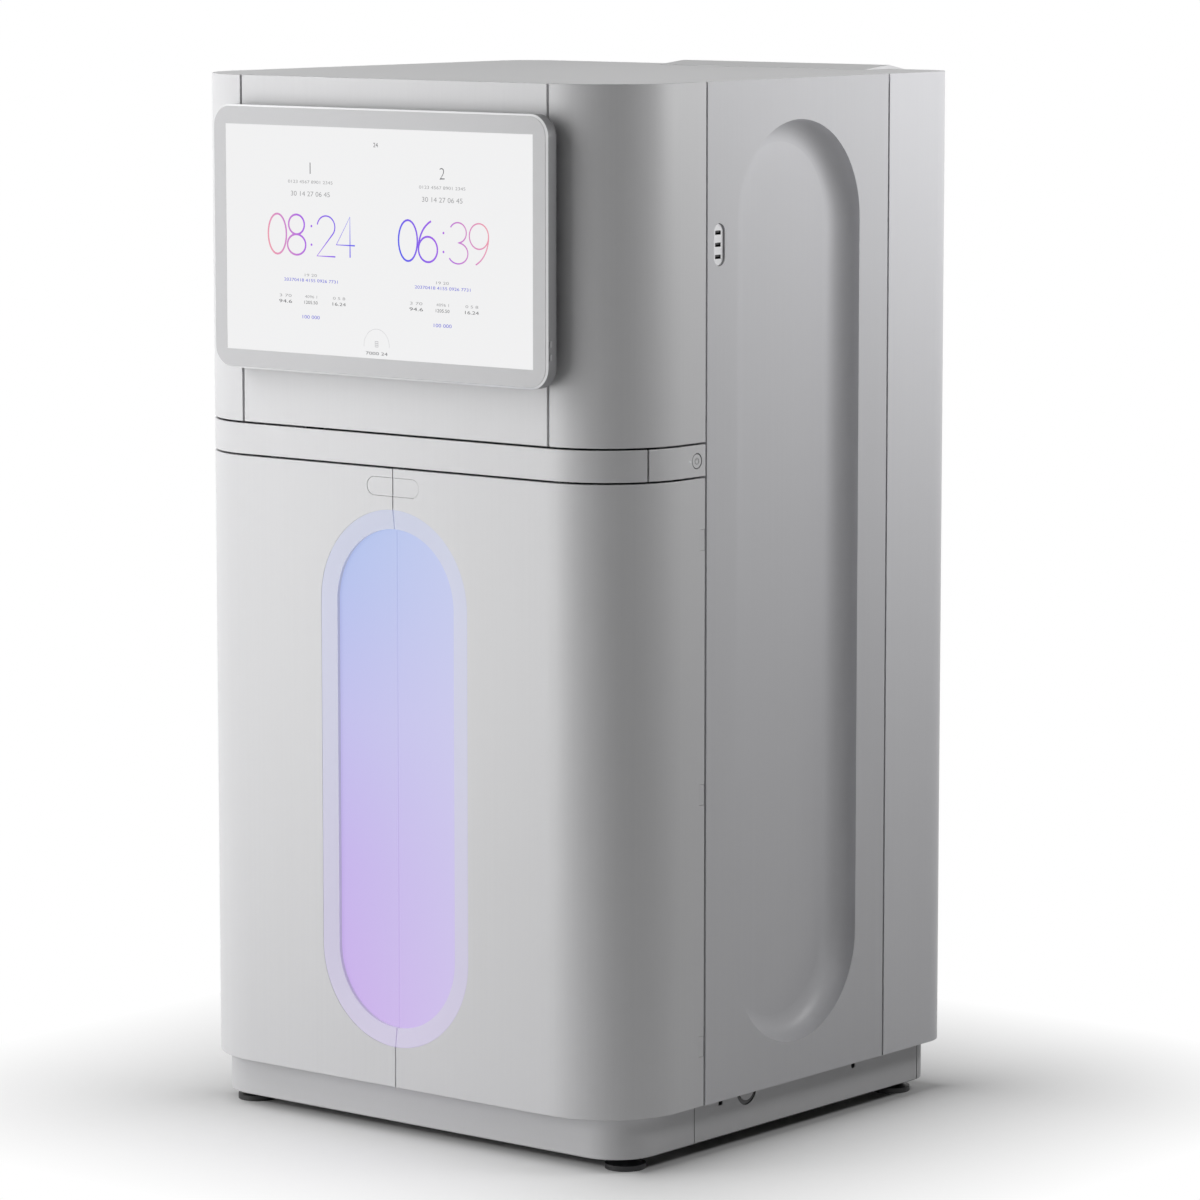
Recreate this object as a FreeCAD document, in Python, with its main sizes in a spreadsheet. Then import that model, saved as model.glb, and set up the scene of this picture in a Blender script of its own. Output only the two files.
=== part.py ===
import FreeCAD, Part
import math
import os
import re

import Sketcher

# Sequencing instrument that stands on the floor: a steel frame under moulded
# shrouds, two doors with a lit window, a pull-out shelf, and a visor that
# carries the monitor and slides up in front of the flow cell bay.
# Millimetres, +Z up, -Y is the front, origin on the floor under the middle.

SIZES = {
    # Body
    "body_width": 864.0,
    "body_depth": 824.0,
    "body_height": 1582.0,
    "front_radius": 135.0,
    "rear_radius": 60.0,
    "door_bottom": 83.4,
    "lower_seam": 1012.8,
    "upper_seam": 1061.9,
    "side_seam_back": 195.0,
    "rear_seam_back": 639.0,
    "seam_gap": 3.0,
    "side_gap": 4.0,
    "door_gap": 2.0,
    "shell_wall": 4.0,
    "shell_depth": 20.0,
    "edge_round": 1.2,
    "seat_play": 0.3,
    # Skirt and floor pan
    "skirt_bottom": 20.0,
    "skirt_gap": 2.4,
    "skirt_wall": 3.0,
    "skirt_front_inset": 36.0,
    "skirt_side_inset": 25.0,
    "skirt_rear_inset": 25.0,
    "skirt_front_radius": 71.0,
    "skirt_rear_radius": 35.0,
    "skirt_seam_gap": 2.0,
    "skirt_bevel": 2.0,
    "pan_thick": 3.0,
    "ring_radius": 24.5,
    "ring_width": 7.0,
    "ring_depth": 2.0,
    "ring_back": 134.5,
    "slot_back": 71.0,
    "slot_width": 10.0,
    "slot_height": 7.0,
    "port_back": 402.0,
    "port_radius": 5.0,
    "port_drop": 9.5,
    # Welded frame
    "frame_inset": 47.0,
    "tube": 40.0,
    "tube_wall": 3.0,
    "base_front": 72.5,
    "base_rear": 51.5,
    "deck_thick": 4.0,
    "deck_front": 32.5,
    "deck_radius": 60.0,
    "lower_deck_drop": 12.8,
    "upper_deck_rise": 4.1,
    "foot_radius": 30.0,
    "foot_thick": 8.0,
    "stem_radius": 8.0,
    "foot_nut_radius": 13.0,
    "foot_nut_thick": 10.0,
    # Top cover, rear panel and exhaust box
    "cover_thick": 12.0,
    "cover_skin": 3.0,
    "cover_rim": 10.0,
    "visor_depth": 25.0,
    "rear_panel_width": 600.0,
    "rear_flange": 20.0,
    "plenum_depth": 75.0,
    "plenum_width": 402.0,
    "plenum_centre": 96.0,
    "plenum_height": 682.0,
    "plenum_wall": 2.0,
    "plenum_round": 10.0,
    "hood_rise": 6.0,
    "hood_lap": 60.0,
    "hood_drop": 14.0,
    "louvre_width": 300.0,
    "louvre_height": 8.0,
    "louvre_pitch": 22.0,
    "louvre_rise": 60.0,
    "fan_size": 119.0,
    "fan_thick": 25.4,
    "fan_bore": 57.0,
    "fan_tip": 55.0,
    "fan_hub": 22.0,
    "fan_spindle": 4.0,
    "spindle_play": 0.05,
    "fan_drop": 212.0,
    "fan_pitch": 190.0,
    "blade_thick": 2.5,
    "blade_chord": 26.0,
    "blade_pitch": 38.0,
    "inlet_width": 48.0,
    "inlet_height": 84.0,
    "inlet_depth": 40.0,
    "inlet_centre": 220.0,
    "inlet_offset": 230.0,
    "rocker_width": 14.0,
    "rocker_height": 22.0,
    "rocker_reach": 5.5,
    "rocker_tilt": 12.0,
    # Doors
    "hinge_radius": 6.5,
    "knuckle_reach": 8.3,
    "knuckle_height": 30.0,
    "knuckle_play": 0.6,
    "pin_radius": 3.0,
    "pin_play": 0.05,
    "pin_length": 60.0,
    "hinge_end": 75.0,
    "leaf_thick": 3.0,
    "window_width": 285.6,
    "window_rise": 60.9,
    "window_drop": 60.5,
    "trim_width": 29.0,
    "trim_edge": 0.4,
    "trim_slope": 3.5,
    "trim_depth": 9.0,
    "trim_lap": 6.0,
    "lens_thick": 3.0,
    "latch_width": 100.0,
    "latch_height": 27.0,
    "latch_drop": 27.1,
    "latch_gap": 0.6,
    "latch_thick": 8.0,
    "latch_lip": 3.0,
    "cup_wall": 1.5,
    "latch_travel": 2.5,
    # Side panels
    "scoop_width": 298.0,
    "scoop_height": 1378.0,
    "scoop_depth": 40.0,
    "scoop_cove": 34.0,
    "scoop_wall": 2.5,
    "usb_width": 26.0,
    "usb_height": 62.0,
    "usb_back": 30.0,
    "usb_drop": 235.0,
    "usb_recess": 3.0,
    "usb_gap": 0.8,
    "usb_port_width": 13.0,
    "usb_port_height": 6.0,
    "usb_port_pitch": 17.5,
    "usb_port_depth": 9.0,
    "usb_tongue_depth": 1.5,
    # Band with the shelf and the power button
    "band_split_angle": 64.0,
    "button_radius": 11.0,
    "button_ahead": 21.5,
    "button_play": 0.7,
    "button_bevel": 1.2,
    "button_thick": 7.5,
    "button_stem": 3.0,
    "button_travel": 2.0,
    "switch_wall": 3.0,
    "switch_depth": 22.0,
    "shelf_gap": 75.0,
    "shelf_depth": 320.0,
    "shelf_wall": 3.0,
    "shelf_rim": 24.0,
    "shelf_rise": 12.0,
    "slide_thick": 12.0,
    "slide_height": 24.0,
    # Visor and monitor
    "carriage_thick": 3.0,
    "bar_height": 40.0,
    "bar_first": 28.1,
    "bar_pitch": 110.0,
    "rail_gap": 20.0,
    "rail_width": 15.0,
    "rail_thick": 12.0,
    "rail_back": 52.0,
    "block_width": 34.0,
    "block_lap": 6.0,
    "monitor_reach": 34.0,
    "monitor_width": 646.0,
    "monitor_height": 392.0,
    "monitor_drop": 42.5,
    "monitor_thick": 22.8,
    "monitor_radius": 32.0,
    "monitor_chamfer": 3.0,
    "bezel_side": 26.0,
    "bezel_end": 28.5,
    "display_thick": 4.0,
    "bracket_width": 220.0,
    "key_width": 4.0,
    "key_height": 9.0,
    "key_back": 8.0,
    "key_lower": 47.0,
    "key_pitch": 19.0,
    "key_proud": 0.8,
    "key_travel": 0.6,
    "key_depth": 6.0,
    # Flow cell bay
    "liner_gap": 45.0,
    "liner_wall": 3.0,
    "flange_gap": 10.0,
    "liner_back": 535.0,
    "bay_clear": 302.0,
    "optics_front": 60.0,
    "stage_width": 440.0,
    "stage_front": 100.0,
    "stage_depth": 400.0,
    "stage_thick": 25.0,
    "stage_rail_gap": 260.0,
    "stage_rail_width": 15.0,
    "stage_rail_height": 12.0,
    "table_width": 300.0,
    "table_depth": 180.0,
    "table_thick": 10.0,
    "table_front": 40.0,
    "block_height": 14.0,
    "cell_width": 76.0,
    "cell_depth": 110.0,
    "cell_thick": 4.0,
    "cell_spacing": 120.0,
    "objective_radius": 26.0,
    "objective_length": 150.0,
    "objective_nose": 12.0,
    "objective_back": 405.0,
    # Fluidics bay
    "bay_gap": 15.0,
    "bay_wall": 2.0,
    "bay_front": 45.0,
    "bay_depth": 480.0,
    "drawer_front": 12.0,
    "chiller_height": 300.0,
    "chiller_floor": 40.0,
    "drawer_gap": 4.0,
    "drawer_depth": 400.0,
    "pull_width": 140.0,
    "pull_height": 26.0,
    "bottle_radius": 85.0,
    "bottle_height": 300.0,
    "bottle_neck": 28.0,
    "bottle_shoulder": 30.0,
    "cap_radius": 32.0,
    "cap_height": 22.0,
    "tray_height": 40.0,
    # Service space behind the bays
    "supply_width": 240.0,
    "supply_depth": 130.0,
    "supply_height": 160.0,
    "controller_gap": 25.0,
    "controller_height": 420.0,
    "controller_depth": 120.0,
    "screw_radius": 4.0,
    "screw_head": 2.2,
    "screw_inset": 14.0,
}

HINGES = 3
FANS = 2
BLADES = 7
LOUVRES = 9
USB_PORTS = 3
REAR_SCREWS = 5

# Places worked out from the sizes, as formulas on the sheet's cells
SIDE = "(body_width / 2)"
FRONT = "((monitor_reach - body_depth - plenum_depth) / 2)"
REAR = "((monitor_reach + body_depth - plenum_depth) / 2)"
CORNER_X = "(body_width / 2 - front_radius)"
CORNER_Y = f"({FRONT} + front_radius)"
SIDE_SEAM = f"({FRONT} + side_seam_back)"
REAR_SEAM = f"({FRONT} + rear_seam_back)"
DOOR_TOP = "(lower_seam - seam_gap / 2)"
BAND_LOW = "(lower_seam + seam_gap / 2)"
BAND_HIGH = "(upper_seam - seam_gap / 2)"
VISOR_LOW = "(upper_seam + seam_gap / 2)"
VISOR_HALF = f"({CORNER_X} - side_gap / 2)"
HINGE_X = "(body_width / 2 - hinge_radius)"
DOOR_EDGE = f"({SIDE_SEAM} - side_gap / 2)"
HINGE_Y = f"({DOOR_EDGE} - hinge_radius)"
POST_FRONT = f"({SIDE_SEAM} - side_gap / 2)"
POST_REAR = f"({REAR_SEAM} - tube / 2)"
POST_OUT = "(body_width / 2 - frame_inset)"
POST_IN = "(body_width / 2 - frame_inset - tube)"
SKIRT_X = "(body_width / 2 - skirt_side_inset)"
SKIRT_Y = f"({FRONT} + skirt_front_inset)"
SKIRT_REAR = f"({REAR} - skirt_rear_inset)"
SKIRT_TOP = "(door_bottom - skirt_gap)"
PAN_LOW = f"({SKIRT_TOP} - pan_thick)"
LOWER_DECK = "(lower_seam - lower_deck_drop)"
UPPER_DECK = "(upper_seam + upper_deck_rise)"
BAY_FLOOR = f"({UPPER_DECK} + deck_thick)"
COVER_LOW = "(body_height - cover_thick)"
TOP_TUBE = "(body_height - cover_skin - tube)"
BAND_MID = "((lower_seam + upper_seam) / 2)"
WINDOW_LOW = "(door_bottom + window_rise)"
WINDOW_HIGH = f"({DOOR_TOP} - window_drop)"
WINDOW_MID = f"(({WINDOW_LOW} + {WINDOW_HIGH}) / 2)"
WINDOW_HALF = f"(({WINDOW_HIGH} - {WINDOW_LOW}) / 2)"
LATCH_MID = f"({DOOR_TOP} - latch_drop)"
USB_MID = "(body_height - usb_drop)"
BAY_HALF = f"({POST_IN} - bay_gap)"
LINER_HALF = f"({POST_IN} - liner_gap)"
LINER_FLANGE = f"({POST_OUT} - flange_gap)"
OPTICS_FLOOR = f"({BAY_FLOOR} + bay_clear)"
RAIL_X = f"({LINER_HALF} + rail_gap)"
WING_HALF = f"({RAIL_X} + block_width / 2)"
SHELF_HALF = f"({POST_IN} - shelf_gap)"

document = FreeCAD.newDocument("sequencing_instrument")
sheet = document.addObject("Spreadsheet::Sheet", "Sizes")
for row, (name, number) in enumerate(SIZES.items(), start=1):
    sheet.set(f"A{row}", name)
    sheet.set(f"B{row}", str(number))
    sheet.setAlias(f"B{row}", name)
document.recompute()

nodes = []


def formula(text):
    """Point each size named in a formula at its cell in the sheet."""
    def cell(word):
        return f"Sizes.{word.group()}" if word.group() in SIZES else word.group()
    return re.sub(r"[a-z][a-z_]*[a-z]", cell, text)


def value(text):
    """Number that a formula gives with the sheet as it stands."""
    return float(sheet.evalExpression(formula(text)))


def bind(piece, target, text):
    """Tie one property of an object to a formula."""
    piece.setExpression(target, formula(text))


def node(piece, label):
    """Name a finished sub-part and put it on the list of files."""
    piece.Label = label
    nodes.append(piece)
    return piece


# Part primitives and booleans

def box(name, low, high):
    """Block between two corners, each given as three formulas."""
    piece = document.addObject("Part::Box", name)
    for side, start, end, axis in zip(("Length", "Width", "Height"), low, high, "xyz"):
        bind(piece, side, f"({end}) - ({start})")
        bind(piece, f".Placement.Base.{axis}", start)
    return piece


def turned(axis):
    """Rotation that lays a shape's own Z along the named direction."""
    directions = {
        "x": FreeCAD.Vector(1, 0, 0),
        "y": FreeCAD.Vector(0, 1, 0),
        "z": FreeCAD.Vector(0, 0, 1),
        "-x": FreeCAD.Vector(-1, 0, 0),
        "-z": FreeCAD.Vector(0, 0, -1),
    }
    return FreeCAD.Rotation(FreeCAD.Vector(0, 0, 1), directions[axis])


def place(piece, at, axis="z"):
    """Turn a shape to an axis and tie its place to three formulas."""
    piece.Placement = FreeCAD.Placement(FreeCAD.Vector(), turned(axis))
    for letter, text in zip("xyz", at):
        bind(piece, f".Placement.Base.{letter}", text)
    return piece


def cylinder(name, at, radius, length, axis="z"):
    piece = document.addObject("Part::Cylinder", name)
    bind(piece, "Radius", radius)
    bind(piece, "Height", length)
    return place(piece, at, axis)


def cone(name, at, low_radius, high_radius, length, axis="z"):
    piece = document.addObject("Part::Cone", name)
    bind(piece, "Radius1", low_radius)
    bind(piece, "Radius2", high_radius)
    bind(piece, "Height", length)
    return place(piece, at, axis)


def fuse(name, pieces):
    joined = document.addObject("Part::MultiFuse", name)
    joined.Shapes = pieces
    joined.Refine = True
    return joined


def cut(name, base, tool):
    rest = document.addObject("Part::Cut", name)
    rest.Base = base
    rest.Tool = tool
    return rest


def shared(name, pieces):
    """What all the pieces have in common."""
    middle = document.addObject("Part::MultiCommon", name)
    middle.Shapes = pieces
    return middle


def group(name, pieces):
    """Separate solids that share one node."""
    bundle = document.addObject("Part::Compound", name)
    bundle.Links = pieces
    return bundle


def mirrored(name, piece):
    """The same piece on the other side of the middle plane."""
    twin = document.addObject("Part::Mirroring", name)
    twin.Source = piece
    twin.Base = FreeCAD.Vector(0, 0, 0)
    twin.Normal = FreeCAD.Vector(1, 0, 0)
    return twin


# Bodies, sketches and features

def body(name):
    return document.addObject("PartDesign::Body", name)


def origin_plane(owner, role):
    for feature in owner.Origin.OriginFeatures:
        if feature.Role == role:
            return feature
    raise ValueError(role)


def hold_point(sketch, geometry, end, x_text, y_text):
    """Tie one point of a sketch to two formulas."""
    for kind, text in (("DistanceX", x_text), ("DistanceY", y_text)):
        index = sketch.addConstraint(
            Sketcher.Constraint(kind, -1, 1, geometry, end, value(text)))
        bind(sketch, f"Constraints[{index}]", text)


def add_arc(sketch, start, finish, centre, turn):
    """Arc about a centre; gives its number and which ends come first and last."""
    radius = (start - centre).Length
    circle = Part.Circle(centre, FreeCAD.Vector(0, 0, 1), radius)
    first = math.atan2(start.y - centre.y, start.x - centre.x)
    last = math.atan2(finish.y - centre.y, finish.x - centre.x)
    if turn > 0:
        while last <= first:
            last += 2 * math.pi
        return sketch.addGeometry(Part.ArcOfCircle(circle, first, last), False), 1, 2
    while first <= last:
        first += 2 * math.pi
    return sketch.addGeometry(Part.ArcOfCircle(circle, last, first), False), 2, 1


def add_loop(sketch, outline):
    """Closed outline. A corner is (x, y), or (x, y, centre_x, centre_y, turn)
    where an arc leads on to the next corner, anticlockwise if turn is 1."""
    points = [FreeCAD.Vector(value(c[0]), value(c[1]), 0) for c in outline]
    edges = []
    for index, corner in enumerate(outline):
        start = points[index]
        finish = points[(index + 1) % len(points)]
        if len(corner) == 2:
            line = Part.LineSegment(start, finish)
            edges.append((sketch.addGeometry(line, False), 1, 2))
        else:
            centre = FreeCAD.Vector(value(corner[2]), value(corner[3]), 0)
            edges.append(add_arc(sketch, start, finish, centre, corner[4]))
    for index, corner in enumerate(outline):
        geometry, first, last = edges[index]
        following, following_first, _ = edges[(index + 1) % len(edges)]
        sketch.addConstraint(
            Sketcher.Constraint("Coincident", geometry, last, following, following_first))
        hold_point(sketch, geometry, first, corner[0], corner[1])
        if len(corner) == 5:
            chord = points[(index + 1) % len(points)] - points[index]
            upright = abs(chord.y) > abs(chord.x)
            kind, text = ("DistanceX", corner[2]) if upright else ("DistanceY", corner[3])
            held = sketch.addConstraint(
                Sketcher.Constraint(kind, -1, 1, geometry, 3, value(text)))
            bind(sketch, f"Constraints[{held}]", text)


def add_circle(sketch, x_text, y_text, radius):
    """Full circle held by its centre and radius."""
    centre = FreeCAD.Vector(value(x_text), value(y_text), 0)
    circle = Part.Circle(centre, FreeCAD.Vector(0, 0, 1), value(radius))
    geometry = sketch.addGeometry(circle, False)
    hold_point(sketch, geometry, 3, x_text, y_text)
    held = sketch.addConstraint(Sketcher.Constraint("Radius", geometry, value(radius)))
    bind(sketch, f"Constraints[{held}]", radius)


def draw(owner, name, plane, height, outlines):
    """Sketch on an origin plane of the body, lifted by a formula. An outline
    is a list of corners, or (x, y, radius) for a circle."""
    sketch = owner.newObject("Sketcher::SketchObject", name)
    sketch.AttachmentSupport = [(origin_plane(owner, plane), "")]
    sketch.MapMode = "FlatFace"
    bind(sketch, ".AttachmentOffset.Base.z", height)
    for outline in outlines:
        if isinstance(outline, tuple):
            add_circle(sketch, *outline)
        else:
            add_loop(sketch, outline)
    document.recompute()
    return sketch


def pad(owner, sketch, length, name):
    feature = owner.newObject("PartDesign::Pad", name)
    feature.Profile = sketch
    bind(feature, "Length", length)
    document.recompute()
    return feature


def pocket(owner, sketch, length, name):
    """Pocket that goes against the sketch's normal; it has to cut something."""
    before = owner.Shape.Volume
    feature = owner.newObject("PartDesign::Pocket", name)
    feature.Profile = sketch
    bind(feature, "Length", length)
    document.recompute()
    if not owner.Shape.Volume < before:
        raise ValueError(f"{name} cuts nothing")
    return feature


def dress(owner, kind, name, size, wanted):
    """Fillet or chamfer on the edges whose points all pass a test."""
    before = owner.Tip
    chosen = []
    for index, edge in enumerate(before.Shape.Edges, start=1):
        middle = edge.valueAt((edge.FirstParameter + edge.LastParameter) / 2)
        points = [vertex.Point for vertex in edge.Vertexes] + [middle]
        if all(wanted(point) for point in points):
            chosen.append(f"Edge{index}")
    if not chosen:
        raise ValueError(f"{name} finds no edge")
    feature = owner.newObject(kind, name)
    feature.Base = (before, chosen)
    bind(feature, "Radius" if kind.endswith("Fillet") else "Size", size)
    document.recompute()
    return feature


def near(number, text):
    return abs(number - value(text)) < 0.01


def on_front_skin(point):
    """Whether a point lies on the outer face of the front or a front corner."""
    reach = value("front_radius")
    across = abs(point.x) - value(CORNER_X)
    ahead = point.y - value(CORNER_Y)
    if ahead > 0:
        return near(abs(point.x), SIDE)
    if across < 0:
        return near(point.y, FRONT)
    return abs(math.hypot(across, ahead) - reach) < 0.01


# Outlines in plan

def rectangle(low_x, high_x, low_y, high_y):
    return [(low_x, low_y), (high_x, low_y), (high_x, high_y), (low_x, high_y)]


def stadium(centre_x, centre_y, half_width, half_height):
    """Upright slot shape with round ends."""
    run = f"(({half_height}) - ({half_width}))"
    right = f"({centre_x}) + ({half_width})"
    left = f"({centre_x}) - ({half_width})"
    above = f"({centre_y}) + {run}"
    below = f"({centre_y}) - {run}"
    return [
        (right, below),
        (right, above, centre_x, above, 1),
        (left, above),
        (left, below, centre_x, below, 1),
    ]


def half_stadium(start_x, centre_y, half_width, half_height):
    """Right half of an upright slot shape, cut off at start_x."""
    run = f"(({half_height}) - ({half_width}))"
    above = f"({centre_y}) + {run}"
    below = f"({centre_y}) - {run}"
    rise = f"sqrt(({half_width})^2 - ({start_x})^2)"
    return [
        (start_x, f"{above} + {rise}", "0", above, -1),
        (half_width, above),
        (half_width, below, "0", below, -1),
        (start_x, f"{below} - {rise}"),
    ]


def half_ring(start_x, centre_y, outer, inner, half_height):
    """Right half of a frame between two slot shapes."""
    run = f"(({half_height}) - ({outer}))"
    above = f"({centre_y}) + {run}"
    below = f"({centre_y}) - {run}"
    outer_rise = f"sqrt(({outer})^2 - ({start_x})^2)"
    inner_rise = f"sqrt(({inner})^2 - ({start_x})^2)"
    return [
        (start_x, f"{above} + {outer_rise}", "0", above, -1),
        (outer, above),
        (outer, below, "0", below, -1),
        (start_x, f"{below} - {outer_rise}"),
        (start_x, f"{below} - {inner_rise}", "0", below, 1),
        (inner, below),
        (inner, above, "0", above, 1),
        (start_x, f"{above} + {inner_rise}"),
    ]


def rounded_deck(half_width, low_y, high_y, radius):
    """Plate with two round front corners."""
    inner = f"(({half_width}) - ({radius}))"
    back = f"(({low_y}) + ({radius}))"
    return [
        (f"-{inner}", low_y),
        (inner, low_y, inner, back, 1),
        (half_width, back),
        (half_width, high_y),
        (f"-({half_width})", high_y),
        (f"-({half_width})", back, f"-{inner}", back, 1),
    ]


def rounded_plate(half_width, low_y, high_y, front, rear):
    """Plate with four round corners, the front pair and the rear pair."""
    fx = f"(({half_width}) - ({front}))"
    fy = f"(({low_y}) + ({front}))"
    rx = f"(({half_width}) - ({rear}))"
    ry = f"(({high_y}) - ({rear}))"
    return [
        (f"-{fx}", low_y),
        (fx, low_y, fx, fy, 1),
        (half_width, fy),
        (half_width, ry, rx, ry, 1),
        (rx, high_y),
        (f"-{rx}", high_y, f"-{rx}", ry, 1),
        (f"-({half_width})", ry),
        (f"-({half_width})", fy, f"-{fx}", fy, 1),
    ]


# Frame

def make_base_frame():
    front = f"({FRONT} + base_front)"
    rear = f"({REAR} - base_rear)"
    low = f"({PAN_LOW} - tube)"
    bars = []
    for side, sign in (("right", ""), ("left", "-")):
        edges = (f"{sign}{POST_OUT}", f"{sign}{POST_IN}")
        low_x, high_x = edges if sign else edges[::-1]
        whole = box(f"base_{side}_tube", (low_x, front, low), (high_x, rear, PAN_LOW))
        bore = box(
            f"base_{side}_bore",
            (f"{low_x} + tube_wall", f"{front} - 1", f"{low} + tube_wall"),
            (f"{high_x} - tube_wall", f"{rear} + 1", f"{PAN_LOW} - tube_wall"))
        bars.append(cut(f"base_{side}_rail", whole, bore))
    middle = f"(({front} + {rear}) / 2 - tube / 2)"
    for index, start in enumerate((front, middle, f"({rear} - tube)")):
        bar = box(f"base_cross_{index}", (f"-{POST_IN}", start, low), (POST_IN, f"{start} + tube", PAN_LOW))
        hollow = box(
            f"base_cross_hollow_{index}",
            (f"-{POST_IN} + tube_wall", f"{start} + tube_wall", f"{low} - 1"),
            (f"{POST_IN} - tube_wall", f"{start} + tube - tube_wall", f"{PAN_LOW} - tube_wall"))
        bars.append(cut(f"base_channel_{index}", bar, hollow))
    node(fuse("base_weld", bars), "base_frame")


def make_feet():
    top = f"({PAN_LOW} - tube)"
    feet = []
    for index, (sign, y_text) in enumerate((
            ("", f"({FRONT} + base_front + tube / 2)"),
            ("-", f"({FRONT} + base_front + tube / 2)"),
            ("", f"({REAR} - base_rear - tube / 2)"),
            ("-", f"({REAR} - base_rear - tube / 2)"))):
        x_text = f"{sign}({POST_OUT} - tube / 2)"
        pad_disc = cylinder(f"foot_disc_{index}", (x_text, y_text, "0"), "foot_radius", "foot_thick")
        shoulder = cone(
            f"foot_cone_{index}", (x_text, y_text, "foot_thick"),
            "foot_radius - 4", "stem_radius", "foot_thick")
        stem = cylinder(f"foot_stem_{index}", (x_text, y_text, "1"), "stem_radius", f"{top} - 1")
        nut = document.addObject("Part::Prism", f"foot_nut_{index}")
        nut.Polygon = 6
        bind(nut, "Circumradius", "foot_nut_radius")
        bind(nut, "Height", "foot_nut_thick")
        place(nut, (x_text, y_text, f"{top} - foot_nut_thick"))
        feet.append(fuse(f"foot_{index}", [pad_disc, shoulder, stem, nut]))
    node(group("feet", feet), "levelling_feet")


def make_cage():
    posts = []
    for side, sign in (("right", 1), ("left", -1)):
        for place_name, start in (("front", POST_FRONT), ("rear", POST_REAR)):
            low_x, high_x = (POST_IN, POST_OUT) if sign > 0 else (f"-{POST_OUT}", f"-{POST_IN}")
            name = f"{place_name}_{side}"
            whole = box(f"post_{name}", (low_x, start, SKIRT_TOP), (high_x, f"{start} + tube", TOP_TUBE))
            bore = box(
                f"post_bore_{name}",
                (f"{low_x} + tube_wall", f"{start} + tube_wall", f"{SKIRT_TOP} - 1"),
                (f"{high_x} - tube_wall", f"{start} + tube - tube_wall", f"{TOP_TUBE} + 1"))
            posts.append(cut(f"post_tube_{name}", whole, bore))
    top = "(body_height - cover_skin)"
    whole = box("top_ring", (f"-{POST_OUT}", POST_FRONT, TOP_TUBE), (POST_OUT, f"{POST_REAR} + tube", top))
    inside = box(
        "top_ring_inside", (f"-{POST_IN}", f"{POST_FRONT} + tube", f"{TOP_TUBE} - 1"),
        (POST_IN, POST_REAR, f"{top} + 1"))
    posts.append(cut("top_ring_frame", whole, inside))
    node(fuse("cage_weld", posts), "frame_cage")


def make_decks():
    for label, low in (("lower_deck", LOWER_DECK), ("upper_deck", UPPER_DECK)):
        owner = body(f"{label}_body")
        plan = rounded_deck(POST_IN, f"({FRONT} + deck_front)", f"({POST_REAR} + tube)", "deck_radius")
        sketch = draw(owner, f"{label}_plan", "XY_Plane", low, [plan])
        pad(owner, sketch, "deck_thick", f"{label}_plate")
        node(owner, label)


def make_floor_pan():
    owner = body("floor_pan_body")
    inset = "(skirt_wall + seat_play)"
    plan = rounded_plate(
        f"({SKIRT_X} - {inset})", f"({SKIRT_Y} + {inset})", f"({SKIRT_REAR} - {inset})",
        f"(skirt_front_radius - {inset})", f"(skirt_rear_radius - {inset})")
    sketch = draw(owner, "pan_plan", "XY_Plane", PAN_LOW, [plan])
    pad(owner, sketch, "pan_thick", "pan_plate")
    node(owner, "floor_pan")


# Skirt

SKIRT_SEAM = f"({SIDE_SEAM} + 8)"


def skirt_feature(name, outline):
    """Upright strip of the skirt with a bevelled lower edge."""
    owner = body(f"{name}_body")
    sketch = draw(owner, f"{name}_plan", "XY_Plane", "skirt_bottom", [outline])
    pad(owner, sketch, f"{SKIRT_TOP} - skirt_bottom", f"{name}_strip")

    def outer_low_edge(point):
        if not near(point.z, "skirt_bottom"):
            return False
        return skirt_outside(point)
    dress(owner, "PartDesign::Chamfer", f"{name}_bevel", "skirt_bevel", outer_low_edge)
    return owner


def skirt_outside(point):
    """Whether a point lies on the skirt's outer face."""
    half = value(SKIRT_X)
    front = value(SKIRT_Y)
    rear = value(SKIRT_REAR)
    radius = value("skirt_front_radius")
    corner = value("skirt_rear_radius")
    across = abs(point.x) - (half - radius)
    ahead = (front + radius) - point.y
    if across > 0 and ahead > 0:
        return abs(math.hypot(across, ahead) - radius) < 0.01
    across = abs(point.x) - (half - corner)
    behind = point.y - (rear - corner)
    if across > 0 and behind > 0:
        return abs(math.hypot(across, behind) - corner) < 0.01
    return any(abs(gap) < 0.01 for gap in (abs(point.x) - half, point.y - front, point.y - rear))


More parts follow.
